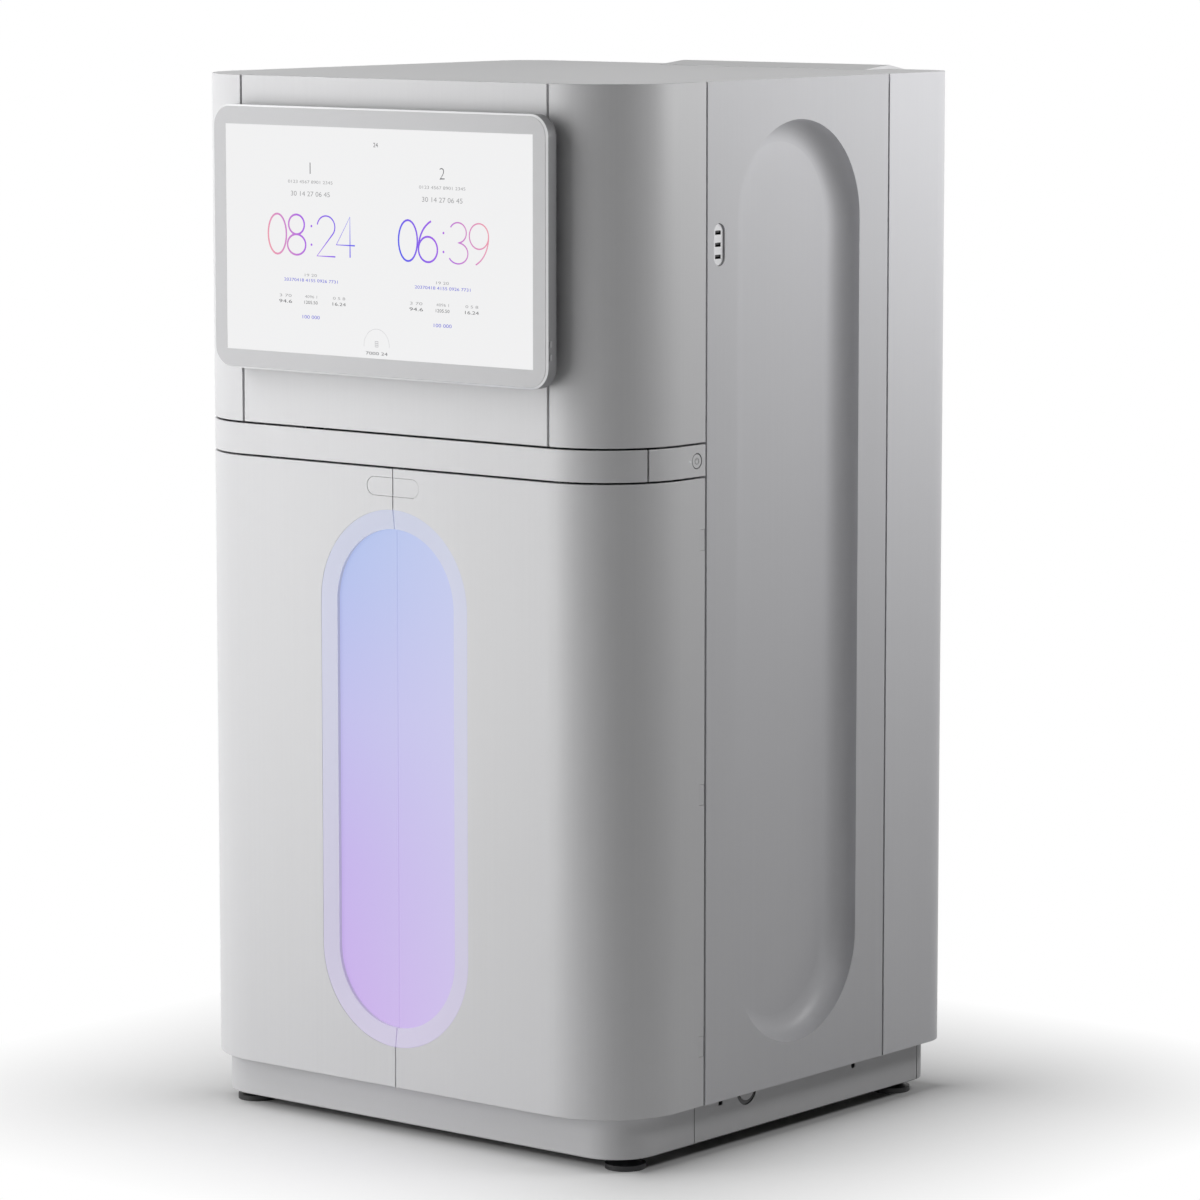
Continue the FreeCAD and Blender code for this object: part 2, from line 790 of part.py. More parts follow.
def make_skirt():
    front_x = f"({SKIRT_X} - skirt_front_radius)"
    front_y = f"({SKIRT_Y} + skirt_front_radius)"
    inner_x = f"({SKIRT_X} - skirt_wall)"
    end = f"({SKIRT_SEAM} - skirt_seam_gap / 2)"
    front_plan = [
        (f"-{SKIRT_X}", end),
        (f"-{SKIRT_X}", front_y, f"-{front_x}", front_y, 1),
        (f"-{front_x}", SKIRT_Y),
        (front_x, SKIRT_Y, front_x, front_y, 1),
        (SKIRT_X, front_y),
        (SKIRT_X, end),
        (inner_x, end),
        (inner_x, front_y, front_x, front_y, -1),
        (front_x, f"{SKIRT_Y} + skirt_wall"),
        (f"-{front_x}", f"{SKIRT_Y} + skirt_wall", f"-{front_x}", front_y, -1),
        (f"-{inner_x}", front_y),
        (f"-{inner_x}", end),
    ]
    node(skirt_feature("skirt_front", front_plan), "skirt_front")

    rear_x = f"({SKIRT_X} - skirt_rear_radius)"
    rear_y = f"({SKIRT_REAR} - skirt_rear_radius)"
    start = f"({SKIRT_SEAM} + skirt_seam_gap / 2)"
    stop = f"({rear_y} - skirt_seam_gap / 2)"
    side_plan = rectangle(inner_x, SKIRT_X, start, stop)
    side = skirt_feature("skirt_right", side_plan)
    ring_y = f"({SIDE_SEAM} + ring_back)"
    ring_z = f"({SKIRT_TOP} + 1)"
    ring = draw(
        side, "ring_outline", "YZ_Plane", f"{SKIRT_X} + 1",
        [(ring_y, ring_z, "ring_radius"), (ring_y, ring_z, "ring_radius - ring_width")])
    pocket(side, ring, "ring_depth + 1", "ring_groove")
    port_z = f"({SKIRT_TOP} - port_drop)"
    slot_y = f"({SIDE_SEAM} + slot_back)"
    ports = draw(
        side, "port_outlines", "YZ_Plane", f"{SKIRT_X} + 1",
        [(f"({SIDE_SEAM} + port_back)", port_z, "port_radius"),
         rectangle(
             f"{slot_y} - slot_width / 2", f"{slot_y} + slot_width / 2",
             f"{port_z} - slot_height / 2", f"{port_z} + slot_height / 2")])
    pocket(side, ports, "skirt_wall + 2", "port_cuts")
    node(side, "skirt_right")
    node(mirrored("skirt_left_twin", side), "skirt_left")

    rear_start = f"({rear_y} + skirt_seam_gap / 2)"
    rear_plan = [
        (f"{rear_x} + sqrt(skirt_rear_radius^2 - (skirt_seam_gap / 2)^2)", rear_start, rear_x, rear_y, 1),
        (rear_x, SKIRT_REAR),
        (f"-{rear_x}", SKIRT_REAR, f"-{rear_x}", rear_y, 1),
        (f"-({rear_x} + sqrt(skirt_rear_radius^2 - (skirt_seam_gap / 2)^2))", rear_start),
        (f"-({rear_x} + sqrt((skirt_rear_radius - skirt_wall)^2 - (skirt_seam_gap / 2)^2))", rear_start,
         f"-{rear_x}", rear_y, -1),
        (f"-{rear_x}", f"{SKIRT_REAR} - skirt_wall"),
        (rear_x, f"{SKIRT_REAR} - skirt_wall", rear_x, rear_y, -1),
        (f"{rear_x} + sqrt((skirt_rear_radius - skirt_wall)^2 - (skirt_seam_gap / 2)^2)", rear_start),
    ]
    node(skirt_feature("skirt_rear", rear_plan), "skirt_rear")


# Shrouds

def shell_return(owner, name, outline, low, thick):
    sketch = draw(owner, f"{name}_plan", "XY_Plane", low, [outline])
    pad(owner, sketch, thick, name)


def make_upper_corners():
    owner = body("right_upper_corner_body")
    start_x = f"({CORNER_X} + side_gap / 2)"
    outer_y = f"({CORNER_Y} - sqrt(front_radius^2 - (side_gap / 2)^2))"
    inner_r = "(front_radius - shell_wall)"
    wall_x = f"({start_x} + shell_wall)"
    inner_y = f"({CORNER_Y} - sqrt({inner_r}^2 - (side_gap / 2 + shell_wall)^2))"
    seam = f"({SIDE_SEAM} - side_gap / 2)"
    plan = [
        (start_x, outer_y, CORNER_X, CORNER_Y, 1),
        (SIDE, CORNER_Y),
        (SIDE, seam),
        (POST_IN, seam),
        (POST_IN, f"{seam} - shell_wall"),
        (f"({SIDE} - shell_wall)", f"{seam} - shell_wall"),
        (f"({SIDE} - shell_wall)", CORNER_Y, CORNER_X, CORNER_Y, -1),
        (wall_x, inner_y),
        (wall_x, f"{FRONT} + shell_depth"),
        (start_x, f"{FRONT} + shell_depth"),
    ]
    sketch = draw(owner, "upper_corner_plan", "XY_Plane", VISOR_LOW, [plan])
    pad(owner, sketch, f"body_height - {VISOR_LOW}", "upper_corner_wall")
    under_cover = rectangle(
        f"{POST_IN} - 1", f"({SIDE} - shell_wall)", f"{seam} - shell_wall - 1", f"{seam} + 1")
    sketch = draw(owner, "upper_corner_top", "XY_Plane", "body_height + 1", [under_cover])
    pocket(owner, sketch, "cover_thick + seat_play + 1", "upper_corner_top_cut")
    dress(
        owner, "PartDesign::Fillet", "upper_corner_edges", "edge_round",
        lambda p: on_front_skin(p) and (near(p.z, VISOR_LOW) or near(p.z, "body_height")))
    node(owner, "right_upper_corner")
    node(mirrored("left_upper_corner_twin", owner), "left_upper_corner")


def make_rear_corners():
    owner = body("right_rear_corner_body")
    start = f"({REAR_SEAM} + side_gap / 2)"
    corner_x = f"({SIDE} - rear_radius)"
    corner_y = f"({REAR} - rear_radius)"
    edge_x = "(rear_panel_width / 2 + seam_gap / 2)"
    flange_x = f"({edge_x} - rear_flange)"
    plan = [
        (SIDE, start),
        (SIDE, corner_y, corner_x, corner_y, 1),
        (corner_x, REAR),
        (edge_x, REAR),
        (edge_x, f"{REAR} - shell_wall"),
        (flange_x, f"{REAR} - shell_wall"),
        (flange_x, f"{REAR} - shell_wall * 2"),
        (f"{edge_x} + shell_wall", f"{REAR} - shell_wall * 2"),
        (f"{edge_x} + shell_wall", f"{REAR} - shell_wall"),
        (corner_x, f"{REAR} - shell_wall", corner_x, corner_y, -1),
        (f"({SIDE} - shell_wall)", corner_y),
        (f"({SIDE} - shell_wall)", f"{start} + shell_wall"),
        (POST_OUT, f"{start} + shell_wall"),
        (POST_OUT, start),
    ]
    sketch = draw(owner, "rear_corner_plan", "XY_Plane", "door_bottom", [plan])
    pad(owner, sketch, "body_height - door_bottom", "rear_corner_wall")
    under_cover = [
        rectangle(f"{flange_x} - 1", corner_x, f"{REAR} - shell_wall * 2 - 1", f"{REAR} - shell_wall"),
        rectangle(f"{POST_OUT} - 1", f"({SIDE} - shell_wall)", f"{start} - 1", f"{start} + shell_wall + 1"),
    ]
    sketch = draw(owner, "rear_corner_top", "XY_Plane", "body_height + 1", under_cover)
    pocket(owner, sketch, "cover_thick + seat_play + 1", "rear_corner_top_cut")
    node(owner, "right_rear_corner")
    node(mirrored("left_rear_corner_twin", owner), "left_rear_corner")


def side_panel_shell(name):
    """Side shroud with returns at its edges and a deep scooped recess."""
    owner = body(f"{name}_body")
    low_y = f"({SIDE_SEAM} + side_gap / 2)"
    high_y = f"({REAR_SEAM} - side_gap / 2)"
    low_z = "door_bottom"
    middle_y = f"(({SIDE_SEAM} + {REAR_SEAM}) / 2)"
    middle_z = f"(({low_z} + body_height) / 2)"
    inner = f"({SIDE} - shell_wall)"
    plan = [
        (SIDE, low_y),
        (SIDE, high_y),
        (POST_OUT, high_y),
        (POST_OUT, f"{high_y} - shell_wall"),
        (inner, f"{high_y} - shell_wall"),
        (inner, f"{low_y} + shell_wall"),
        (POST_OUT, f"{low_y} + shell_wall"),
        (POST_OUT, low_y),
    ]
    sketch = draw(owner, f"{name}_plan", "XY_Plane", low_z, [plan])
    pad(owner, sketch, f"body_height - {low_z}", f"{name}_sheet")
    under_cover = rectangle(f"{POST_OUT} - 1", inner, f"{low_y} - 1", f"{high_y} + 1")
    sketch = draw(owner, f"{name}_top", "XY_Plane", "body_height + 1", [under_cover])
    pocket(owner, sketch, "cover_thick + seat_play + 1", f"{name}_top_cut")
    back = f"({SIDE} - scoop_depth - scoop_wall)"
    bowl = stadium(middle_y, middle_z, "scoop_width / 2 + scoop_wall", "scoop_height / 2 + scoop_wall")
    sketch = draw(owner, f"{name}_bowl_outline", "YZ_Plane", back, [bowl])
    pad(owner, sketch, f"scoop_depth + scoop_wall - shell_wall / 2", f"{name}_bowl")
    hollow = stadium(middle_y, middle_z, "scoop_width / 2", "scoop_height / 2")
    sketch = draw(owner, f"{name}_hollow_outline", "YZ_Plane", f"{SIDE} + 1", [hollow])
    pocket(owner, sketch, "scoop_depth + 1", f"{name}_hollow")
    floor = f"({SIDE} - scoop_depth)"
    reach = value("scoop_width") / 2

    def floor_edge(point):
        if not near(point.x, floor):
            return False
        run = value("scoop_height / 2 - scoop_width / 2")
        up = max(0.0, abs(point.z - value(middle_z)) - run)
        return abs(math.hypot(point.y - value(middle_y), up) - reach) < 0.01
    dress(owner, "PartDesign::Fillet", f"{name}_cove", "scoop_cove", floor_edge)
    dress(
        owner, "PartDesign::Fillet", f"{name}_bowl_round", "scoop_cove + scoop_wall",
        lambda p: near(p.x, back))
    return owner


def make_side_panels():
    plain = side_panel_shell("left_side")
    node(mirrored("left_side_twin", plain), "left_side_panel")
    right = side_panel_shell("right_side")
    usb_y = f"({SIDE_SEAM} + usb_back)"
    opening = stadium(usb_y, USB_MID, "usb_width / 2", "usb_height / 2")
    sketch = draw(right, "usb_opening", "YZ_Plane", f"{SIDE} + 1", [opening])
    pocket(right, sketch, "shell_wall + 2", "usb_cut")
    node(right, "right_side_panel")


def make_usb_plate():
    owner = body("usb_plate_body")
    usb_y = f"({SIDE_SEAM} + usb_back)"
    face = f"({SIDE} - usb_recess)"
    back = f"({SIDE} - shell_wall)"
    insert = stadium(usb_y, USB_MID, "usb_width / 2 - usb_gap", "usb_height / 2 - usb_gap")
    sketch = draw(owner, "usb_insert_outline", "YZ_Plane", back, [insert])
    pad(owner, sketch, f"{face} - {back}", "usb_insert")
    flange = rectangle(
        f"{usb_y} - usb_width / 2 + 4 - 8", f"{usb_y} + usb_width / 2 + 4",
        f"{USB_MID} - usb_height / 2 - 4", f"{USB_MID} + usb_height / 2 + 4")
    sketch = draw(owner, "usb_flange_outline", "YZ_Plane", f"{back} - usb_port_depth", [flange])
    pad(owner, sketch, "usb_port_depth", "usb_flange")
    for index in range(USB_PORTS):
        centre = f"({USB_MID} + usb_port_pitch * {index - (USB_PORTS - 1) / 2})"
        port = rectangle(
            f"{usb_y} - usb_port_width / 2", f"{usb_y} + usb_port_width / 2",
            f"{centre} - usb_port_height / 2", f"{centre} + usb_port_height / 2")
        tongue = rectangle(
            f"{usb_y} - usb_port_width / 2 + 1", f"{usb_y} + usb_port_width / 2 - 1",
            f"{centre}", f"{centre} + usb_port_height / 3")
        sketch = draw(owner, f"usb_port_{index}", "YZ_Plane", f"{face} + 1", [port])
        pocket(owner, sketch, "usb_tongue_depth + 1", f"usb_mouth_{index}")
        sketch = draw(owner, f"usb_throat_{index}", "YZ_Plane", f"{face} + 1", [port, tongue])
        pocket(owner, sketch, "usb_port_depth", f"usb_socket_{index}")
    node(owner, "usb_plate")


def make_top_cover():
    owner = body("top_cover_body")
    inset = "(shell_wall + seat_play)"
    reach = f"(front_radius - {inset})"
    tongue = f"({CORNER_X} + side_gap / 2 + shell_wall + seat_play)"
    tongue_y = f"({CORNER_Y} - sqrt({reach}^2 - (side_gap / 2 + shell_wall + seat_play)^2))"
    front = f"({FRONT} + visor_depth + seam_gap)"
    half = f"({SIDE} - {inset})"
    rear = f"({REAR} - {inset})"
    rear_x = f"({SIDE} - rear_radius)"
    rear_y = f"({REAR} - rear_radius)"
    plan = [
        (f"-{tongue}", front),
        (tongue, front),
        (tongue, tongue_y, CORNER_X, CORNER_Y, 1),
        (half, CORNER_Y),
        (half, rear_y, rear_x, rear_y, 1),
        (rear_x, rear),
        (f"-{rear_x}", rear, f"-{rear_x}", rear_y, 1),
        (f"-{half}", rear_y),
        (f"-{half}", CORNER_Y, f"-{CORNER_X}", CORNER_Y, 1),
        (f"-{tongue}", tongue_y),
    ]
    sketch = draw(owner, "cover_plan", "XY_Plane", COVER_LOW, [plan])
    pad(owner, sketch, "cover_thick", "cover_plate")
    under = rounded_plate(
        f"({half} - cover_rim)", f"({front} + cover_rim)", f"({rear} - cover_rim)",
        "deck_radius", f"(rear_radius - {inset} - cover_rim)")
    sketch = draw(owner, "cover_under", "XY_Plane", "body_height - cover_skin", [under])
    pocket(owner, sketch, "cover_thick", "cover_hollow")
    node(owner, "top_cover")


# Rear panel, exhaust box, fans and inlet

PLENUM_LEFT = "(plenum_centre - plenum_width / 2)"
PLENUM_RIGHT = "(plenum_centre + plenum_width / 2)"
PLENUM_LOW = "(body_height - plenum_height)"


def fan_height(index):
    return f"(body_height - fan_drop - fan_pitch * {FANS - 1 - index})"


def make_rear_panel():
    owner = body("rear_panel_body")
    low = "door_bottom"
    half = "(rear_panel_width / 2)"
    face = rectangle(f"-{half}", half, low, "body_height")
    sketch = draw(owner, "rear_face", "XZ_Plane", f"-({REAR})", [face])
    pad(owner, sketch, "shell_wall", "rear_sheet")
    inlet = rectangle(
        "-inlet_offset - inlet_width / 2", "-inlet_offset + inlet_width / 2",
        "inlet_centre - inlet_height / 2", "inlet_centre + inlet_height / 2")
    sketch = draw(owner, "inlet_opening", "XZ_Plane", f"-({REAR} - shell_wall - 1)", [inlet])
    pocket(owner, sketch, "shell_wall + 2", "inlet_cut")
    for index in range(FANS):
        height = fan_height(index)
        mouth = ("plenum_centre", height, "fan_bore")
        sketch = draw(owner, f"fan_mouth_{index}", "XZ_Plane", f"-({REAR} - shell_wall - 1)", [mouth])
        pocket(owner, sketch, "shell_wall + 2", f"fan_cut_{index}")
    node(owner, "rear_panel")


def make_plenum():
    owner = body("exhaust_plenum_body")
    high = "(body_height + hood_rise)"
    back = f"({REAR} + plenum_depth)"
    plan = [
        (PLENUM_LEFT, REAR),
        (PLENUM_RIGHT, REAR),
        (
            PLENUM_RIGHT, f"{back} - plenum_round",
            f"{PLENUM_RIGHT} - plenum_round", f"{back} - plenum_round", 1),
        (f"{PLENUM_RIGHT} - plenum_round", back),
        (f"{PLENUM_LEFT} + plenum_round", back, f"{PLENUM_LEFT} + plenum_round", f"{back} - plenum_round", 1),
        (PLENUM_LEFT, f"{back} - plenum_round"),
    ]
    sketch = draw(owner, "plenum_plan", "XY_Plane", PLENUM_LOW, [plan])
    pad(owner, sketch, f"{high} - {PLENUM_LOW}", "plenum_block")
    lip = [
        (f"{REAR} + plenum_wall", "body_height"),
        (f"{REAR} + plenum_wall", high),
        (REAR, high),
        (f"{REAR} - hood_lap", "body_height + 0.5"),
        (f"{REAR} - hood_lap", "body_height"),
    ]
    sketch = draw(owner, "hood_section", "YZ_Plane", PLENUM_LEFT, [lip])
    pad(owner, sketch, "plenum_width", "hood_lip")
    fall = [
        (REAR, f"{high} + 1"),
        (f"{back} + 1", f"{high} + 1"),
        (f"{back} + 1", f"{high} - hood_drop"),
        (REAR, high),
    ]
    sketch = draw(owner, "hood_fall_section", "YZ_Plane", f"{PLENUM_RIGHT} + 1", [fall])
    pocket(owner, sketch, "plenum_width + 2", "hood_fall")
    inside = rectangle(
        f"{PLENUM_LEFT} + plenum_wall", f"{PLENUM_RIGHT} - plenum_wall",
        f"{PLENUM_LOW} + plenum_wall", f"{high} - hood_drop - plenum_wall * 2")
    sketch = draw(owner, "plenum_inside", "XZ_Plane", f"-({REAR} - 1)", [inside])
    pocket(owner, sketch, "plenum_depth - plenum_wall + 1", "plenum_hollow")
    for index in range(LOUVRES):
        low = f"({PLENUM_LOW} + louvre_rise + louvre_pitch * {index})"
        slot = rectangle(
            "plenum_centre - louvre_width / 2", "plenum_centre + louvre_width / 2",
            low, f"{low} + louvre_height")
        sketch = draw(owner, f"louvre_{index}", "XZ_Plane", f"-({back} - plenum_wall - 1)", [slot])
        pocket(owner, sketch, "plenum_wall + 2", f"louvre_cut_{index}")
    node(owner, "exhaust_plenum")


def make_fans():
    """Two square fans on the rear panel, blowing into the exhaust box."""
    frames = []
    for index in range(FANS):
        height = fan_height(index)
        whole = box(
            f"fan_square_{index}",
            ("plenum_centre - fan_size / 2", REAR, f"{height} - fan_size / 2"),
            ("plenum_centre + fan_size / 2", f"{REAR} + fan_thick", f"{height} + fan_size / 2"))
        bore = cylinder(
            f"fan_bore_{index}", ("plenum_centre", f"{REAR} - 1", height), "fan_bore", "fan_thick + 2", "y")
        ring = cut(f"fan_ring_{index}", whole, bore)
        spider = [
            box(
                f"fan_arm_level_{index}",
                ("plenum_centre - fan_bore - 1", f"{REAR} + fan_thick - 4", f"{height} - 2.5"),
                ("plenum_centre + fan_bore + 1", f"{REAR} + fan_thick", f"{height} + 2.5")),
            box(
                f"fan_arm_upright_{index}",
                ("plenum_centre - 2.5", f"{REAR} + fan_thick - 4", f"{height} - fan_bore - 1"),
                ("plenum_centre + 2.5", f"{REAR} + fan_thick", f"{height} + fan_bore + 1")),
            cylinder(
                f"fan_boss_{index}", ("plenum_centre", f"{REAR} + fan_thick - 4", height),
                "fan_hub - 2", "4", "y"),
            cylinder(
                f"fan_spindle_{index}", ("plenum_centre", f"{REAR} + 6", height),
                "fan_spindle", "fan_thick - 8", "y"),
        ]
        frames.append(fuse(f"fan_frame_{index}", [ring] + spider))
        make_rotor(index, height)
    node(group("fans", frames), "fan_frames")


def make_rotor(index, height):
    """Hub with pitched blades round it, turning on the frame's spindle."""
    owner = body(f"rotor_{index}_body")
    depth = "(fan_thick - 9)"
    bore = "(fan_spindle + spindle_play)"
    profile = [(bore, "0"), ("fan_hub", "0"), ("fan_hub", depth), (bore, depth)]
    hub = draw(owner, f"hub_profile_{index}", "XY_Plane", "0", [profile])
    turn = owner.newObject("PartDesign::Revolution", f"hub_{index}")
    turn.Profile = hub
    turn.ReferenceAxis = (hub, ["V_Axis"])
    turn.Angle = 360
    document.recompute()
    half_chord = "(blade_chord / 2 * cos(blade_pitch))"
    half_rise = "(blade_chord / 2 * sin(blade_pitch) * 0.85)"
    middle = f"({depth} / 2)"
    blade = [
        (f"-{half_chord}", f"{middle} - {half_rise}"),
        (f"-{half_chord} + blade_thick", f"{middle} - {half_rise}"),
        (half_chord, f"{middle} + {half_rise}"),
        (f"{half_chord} - blade_thick", f"{middle} + {half_rise}"),
    ]
    section = owner.newObject("Sketcher::SketchObject", f"blade_section_{index}")
    section.AttachmentSupport = [(origin_plane(owner, "XY_Plane"), "")]
    section.MapMode = "FlatFace"
    section.AttachmentOffset = FreeCAD.Placement(
        FreeCAD.Vector(0, 0, value("fan_hub - 2")), FreeCAD.Rotation())
    bind(section, ".AttachmentOffset.Base.z", "fan_hub - 2")
    add_loop(section, blade)
    document.recompute()
    first = owner.newObject("PartDesign::Pad", f"blade_{index}")
    first.Profile = section
    bind(first, "Length", "fan_tip - fan_hub + 2")
    document.recompute()
    around = owner.newObject("PartDesign::PolarPattern", f"blades_{index}")
    around.Originals = [first]
    around.Axis = (hub, ["V_Axis"])
    around.Angle = 360
    around.Occurrences = BLADES
    owner.Tip = around
    document.recompute()
    for letter, text in zip("xyz", ("plenum_centre", f"{REAR} + 1.5", height)):
        bind(owner, f".Placement.Base.{letter}", text)
    document.recompute()
    node(owner, f"fan_rotor_{index + 1}")


def make_inlet():
    owner = body("mains_inlet_body")
    low_x = "(-inlet_offset - inlet_width / 2 + seat_play)"
    high_x = "(-inlet_offset + inlet_width / 2 - seat_play)"
    low_z = "(inlet_centre - inlet_height / 2 + seat_play)"
    high_z = "(inlet_centre + inlet_height / 2 - seat_play)"
    block = draw(
        owner, "inlet_block_outline", "XZ_Plane", f"-({REAR})",
        [rectangle(low_x, high_x, low_z, high_z)])
    pad(owner, block, "inlet_depth", "inlet_block")
    flange = draw(
        owner, "inlet_flange_outline", "XZ_Plane", f"-({REAR} + 3)",
        [rectangle(f"{low_x} - 5", f"{high_x} + 5", f"{low_z} - 5", f"{high_z} + 5")])
    pad(owner, flange, "3", "inlet_flange")
    middle = "(inlet_centre - inlet_height / 4 + 4)"
    socket = rectangle(
        "-inlet_offset - 14", "-inlet_offset + 14", f"{middle} - 10", f"{middle} + 10")
    pins = [
        rectangle(
            f"-inlet_offset + {offset} - 1", f"-inlet_offset + {offset} + 1",
            f"{middle} + {lift} - 2", f"{middle} + {lift} + 2")
        for offset, lift in ((-7, -3), (0, 3), (7, -3))
    ]
    sketch = draw(owner, "inlet_socket", "XZ_Plane", f"-({REAR} + 4)", [socket] + pins)
    reverse_pocket(owner, sketch, "18", "inlet_socket_cut")
    window = rectangle(
        "-inlet_offset - rocker_width / 2 - seat_play", "-inlet_offset + rocker_width / 2 + seat_play",
        "inlet_centre + inlet_height / 4 - rocker_height / 2 - 1",
        "inlet_centre + inlet_height / 4 + rocker_height / 2 + 1")
    sketch = draw(owner, "rocker_window", "XZ_Plane", f"-({REAR} + 4)", [window])
    reverse_pocket(owner, sketch, "16", "rocker_cut")
    node(owner, "mains_inlet")

    rocker = body("mains_rocker_body")
    tip = "(rocker_height / 2 - 1)"
    side = [
        ("-6", "-5"),
        ("rocker_reach - 1", f"-{tip}"),
        ("rocker_reach", "0"),
        ("rocker_reach - 1", tip),
        ("-6", "5"),
    ]
    sketch = draw(rocker, "rocker_side", "YZ_Plane", "-rocker_width / 2", [side])
    pad(rocker, sketch, "rocker_width", "rocker_bar")
    rocker.Placement = FreeCAD.Placement(
        FreeCAD.Vector(), FreeCAD.Rotation(FreeCAD.Vector(1, 0, 0), value("rocker_tilt / 2")))
    bind(rocker, ".Placement.Rotation.Angle", "rocker_tilt / 2")
    bind(rocker, ".Placement.Base.x", "-inlet_offset")
    bind(rocker, ".Placement.Base.y", f"{REAR} - 2")
    bind(rocker, ".Placement.Base.z", "inlet_centre + inlet_height / 4")
    document.recompute()
    node(rocker, "mains_rocker")


def reverse_pocket(owner, sketch, length, name):
    """Pocket along the sketch's own normal, towards -Y."""
    before = owner.Shape.Volume
    feature = owner.newObject("PartDesign::Pocket", name)
    feature.Profile = sketch
    feature.Reversed = True
    bind(feature, "Length", length)
    document.recompute()
    if not owner.Shape.Volume < before:
        raise ValueError(f"{name} cuts nothing")
    return feature


def make_screws():
    """Button-head screws down both edges of the rear panel, below the exhaust box."""
    screws = []
    span = f"({PLENUM_LOW} - door_bottom - screw_inset * 6)"
    for side, sign in (("right", ""), ("left", "-")):
        for index in range(REAR_SCREWS):
            height = f"(door_bottom + screw_inset * 3 + {span} / {REAR_SCREWS - 1} * {index})"
            x_text = f"{sign}(rear_panel_width / 2 - screw_inset / 1.4)"
            screws.append(cone(
                f"screw_{side}_{index}", (x_text, REAR, height), "screw_radius", "screw_radius * 0.6",
                "screw_head", "y"))
    node(group("rear_screws", screws), "rear_panel_screws")


# Doors

def make_doors():
    owner = body("right_door_body")
    centre = "(door_gap / 2)"
    inner_x = f"({SIDE} - shell_wall)"
    back = f"({FRONT} + shell_depth)"
    tuck = "sqrt(hinge_radius^2 - (hinge_radius - shell_wall)^2)"
    plan = [
        (centre, FRONT),
        (CORNER_X, FRONT, CORNER_X, CORNER_Y, 1),
        (SIDE, CORNER_Y),
        (SIDE, f"{DOOR_EDGE} - edge_round", f"{SIDE} - edge_round", f"{DOOR_EDGE} - edge_round", 1),
        (f"{SIDE} - edge_round", DOOR_EDGE),
        (HINGE_X, DOOR_EDGE, HINGE_X, HINGE_Y, 1),
        (inner_x, f"{HINGE_Y} - {tuck}"),
        (inner_x, CORNER_Y, CORNER_X, CORNER_Y, -1),
        (CORNER_X, f"{FRONT} + shell_wall"),
        (f"{centre} + shell_wall", f"{FRONT} + shell_wall"),
        (f"{centre} + shell_wall", back),
        (centre, back),
    ]
    sketch = draw(owner, "door_plan", "XY_Plane", "door_bottom", [plan])
    pad(owner, sketch, f"{DOOR_TOP} - door_bottom", "door_wall")
    dress(
        owner, "PartDesign::Fillet", "door_edges", "edge_round",
        lambda p: on_front_skin(p) and (near(p.z, "door_bottom") or near(p.z, DOOR_TOP)))
    flange_x = f"({SIDE} - shell_depth)"
    flange = [
        (f"{centre} + shell_wall / 2", f"{FRONT} + shell_wall / 2"),
        (CORNER_X, f"{FRONT} + shell_wall / 2", CORNER_X, CORNER_Y, 1),
        (f"({SIDE} - shell_wall / 2)", CORNER_Y),
        (flange_x, CORNER_Y, CORNER_X, CORNER_Y, -1),
        (CORNER_X, back),
        (f"{centre} + shell_wall / 2", back),
    ]
    heights = (("low", "door_bottom + edge_round"), ("high", f"{DOOR_TOP} - edge_round - skirt_wall"))
    for label, low in heights:
        sketch = draw(owner, f"door_flange_{label}_plan", "XY_Plane", low, [flange])
        pad(owner, sketch, "skirt_wall", f"door_flange_{label}")
    opening = stadium("0", WINDOW_MID, "window_width / 2", WINDOW_HALF)
    sketch = draw(owner, "window_outline", "XZ_Plane", f"-({FRONT} - 1)", [opening])
    pocket(owner, sketch, "shell_depth + 2", "window_cut")
    half_width = "(latch_height / 2 + latch_gap)"
    latch = [
        ("-1", f"{LATCH_MID} - {half_width}"),
        ("latch_width / 2 - latch_height / 2", f"{LATCH_MID} - {half_width}",
         "latch_width / 2 - latch_height / 2", LATCH_MID, 1),
        ("latch_width / 2 - latch_height / 2", f"{LATCH_MID} + {half_width}"),
        ("-1", f"{LATCH_MID} + {half_width}"),
    ]
    sketch = draw(owner, "latch_outline", "XZ_Plane", f"-({FRONT} - 1)", [latch])
    pocket(owner, sketch, "shell_depth + 2", "latch_cut")
    wrap = (HINGE_X, HINGE_Y, "knuckle_reach + knuckle_play")
    for index in range(HINGES):
        high = f"({knuckle_low(index)} + knuckle_height + knuckle_play)"
        sketch = draw(owner, f"knuckle_gap_{index}", "XY_Plane", high, [wrap])
        pocket(owner, sketch, "knuckle_height + knuckle_play * 2", f"knuckle_cut_{index}")
    bore = cylinder(
        "door_pin_bore", (HINGE_X, HINGE_Y, "door_bottom - 1"), "pin_radius + pin_play",
        f"{DOOR_TOP} - door_bottom + 2")
    shell = cut("right_door_shell", owner, bore)
    cup = make_latch_cup()
    door = fuse("right_door_whole", [shell, cup])
    node(door, "right_door")
    node(mirrored("left_door_twin", door), "left_door")


def knuckle_low(index):
    """Lower face of one hinge knuckle."""
    span = f"({DOOR_TOP} - door_bottom - hinge_end * 2 - knuckle_height)"
    return f"(door_bottom + hinge_end + {span} / {HINGES - 1} * {index})"


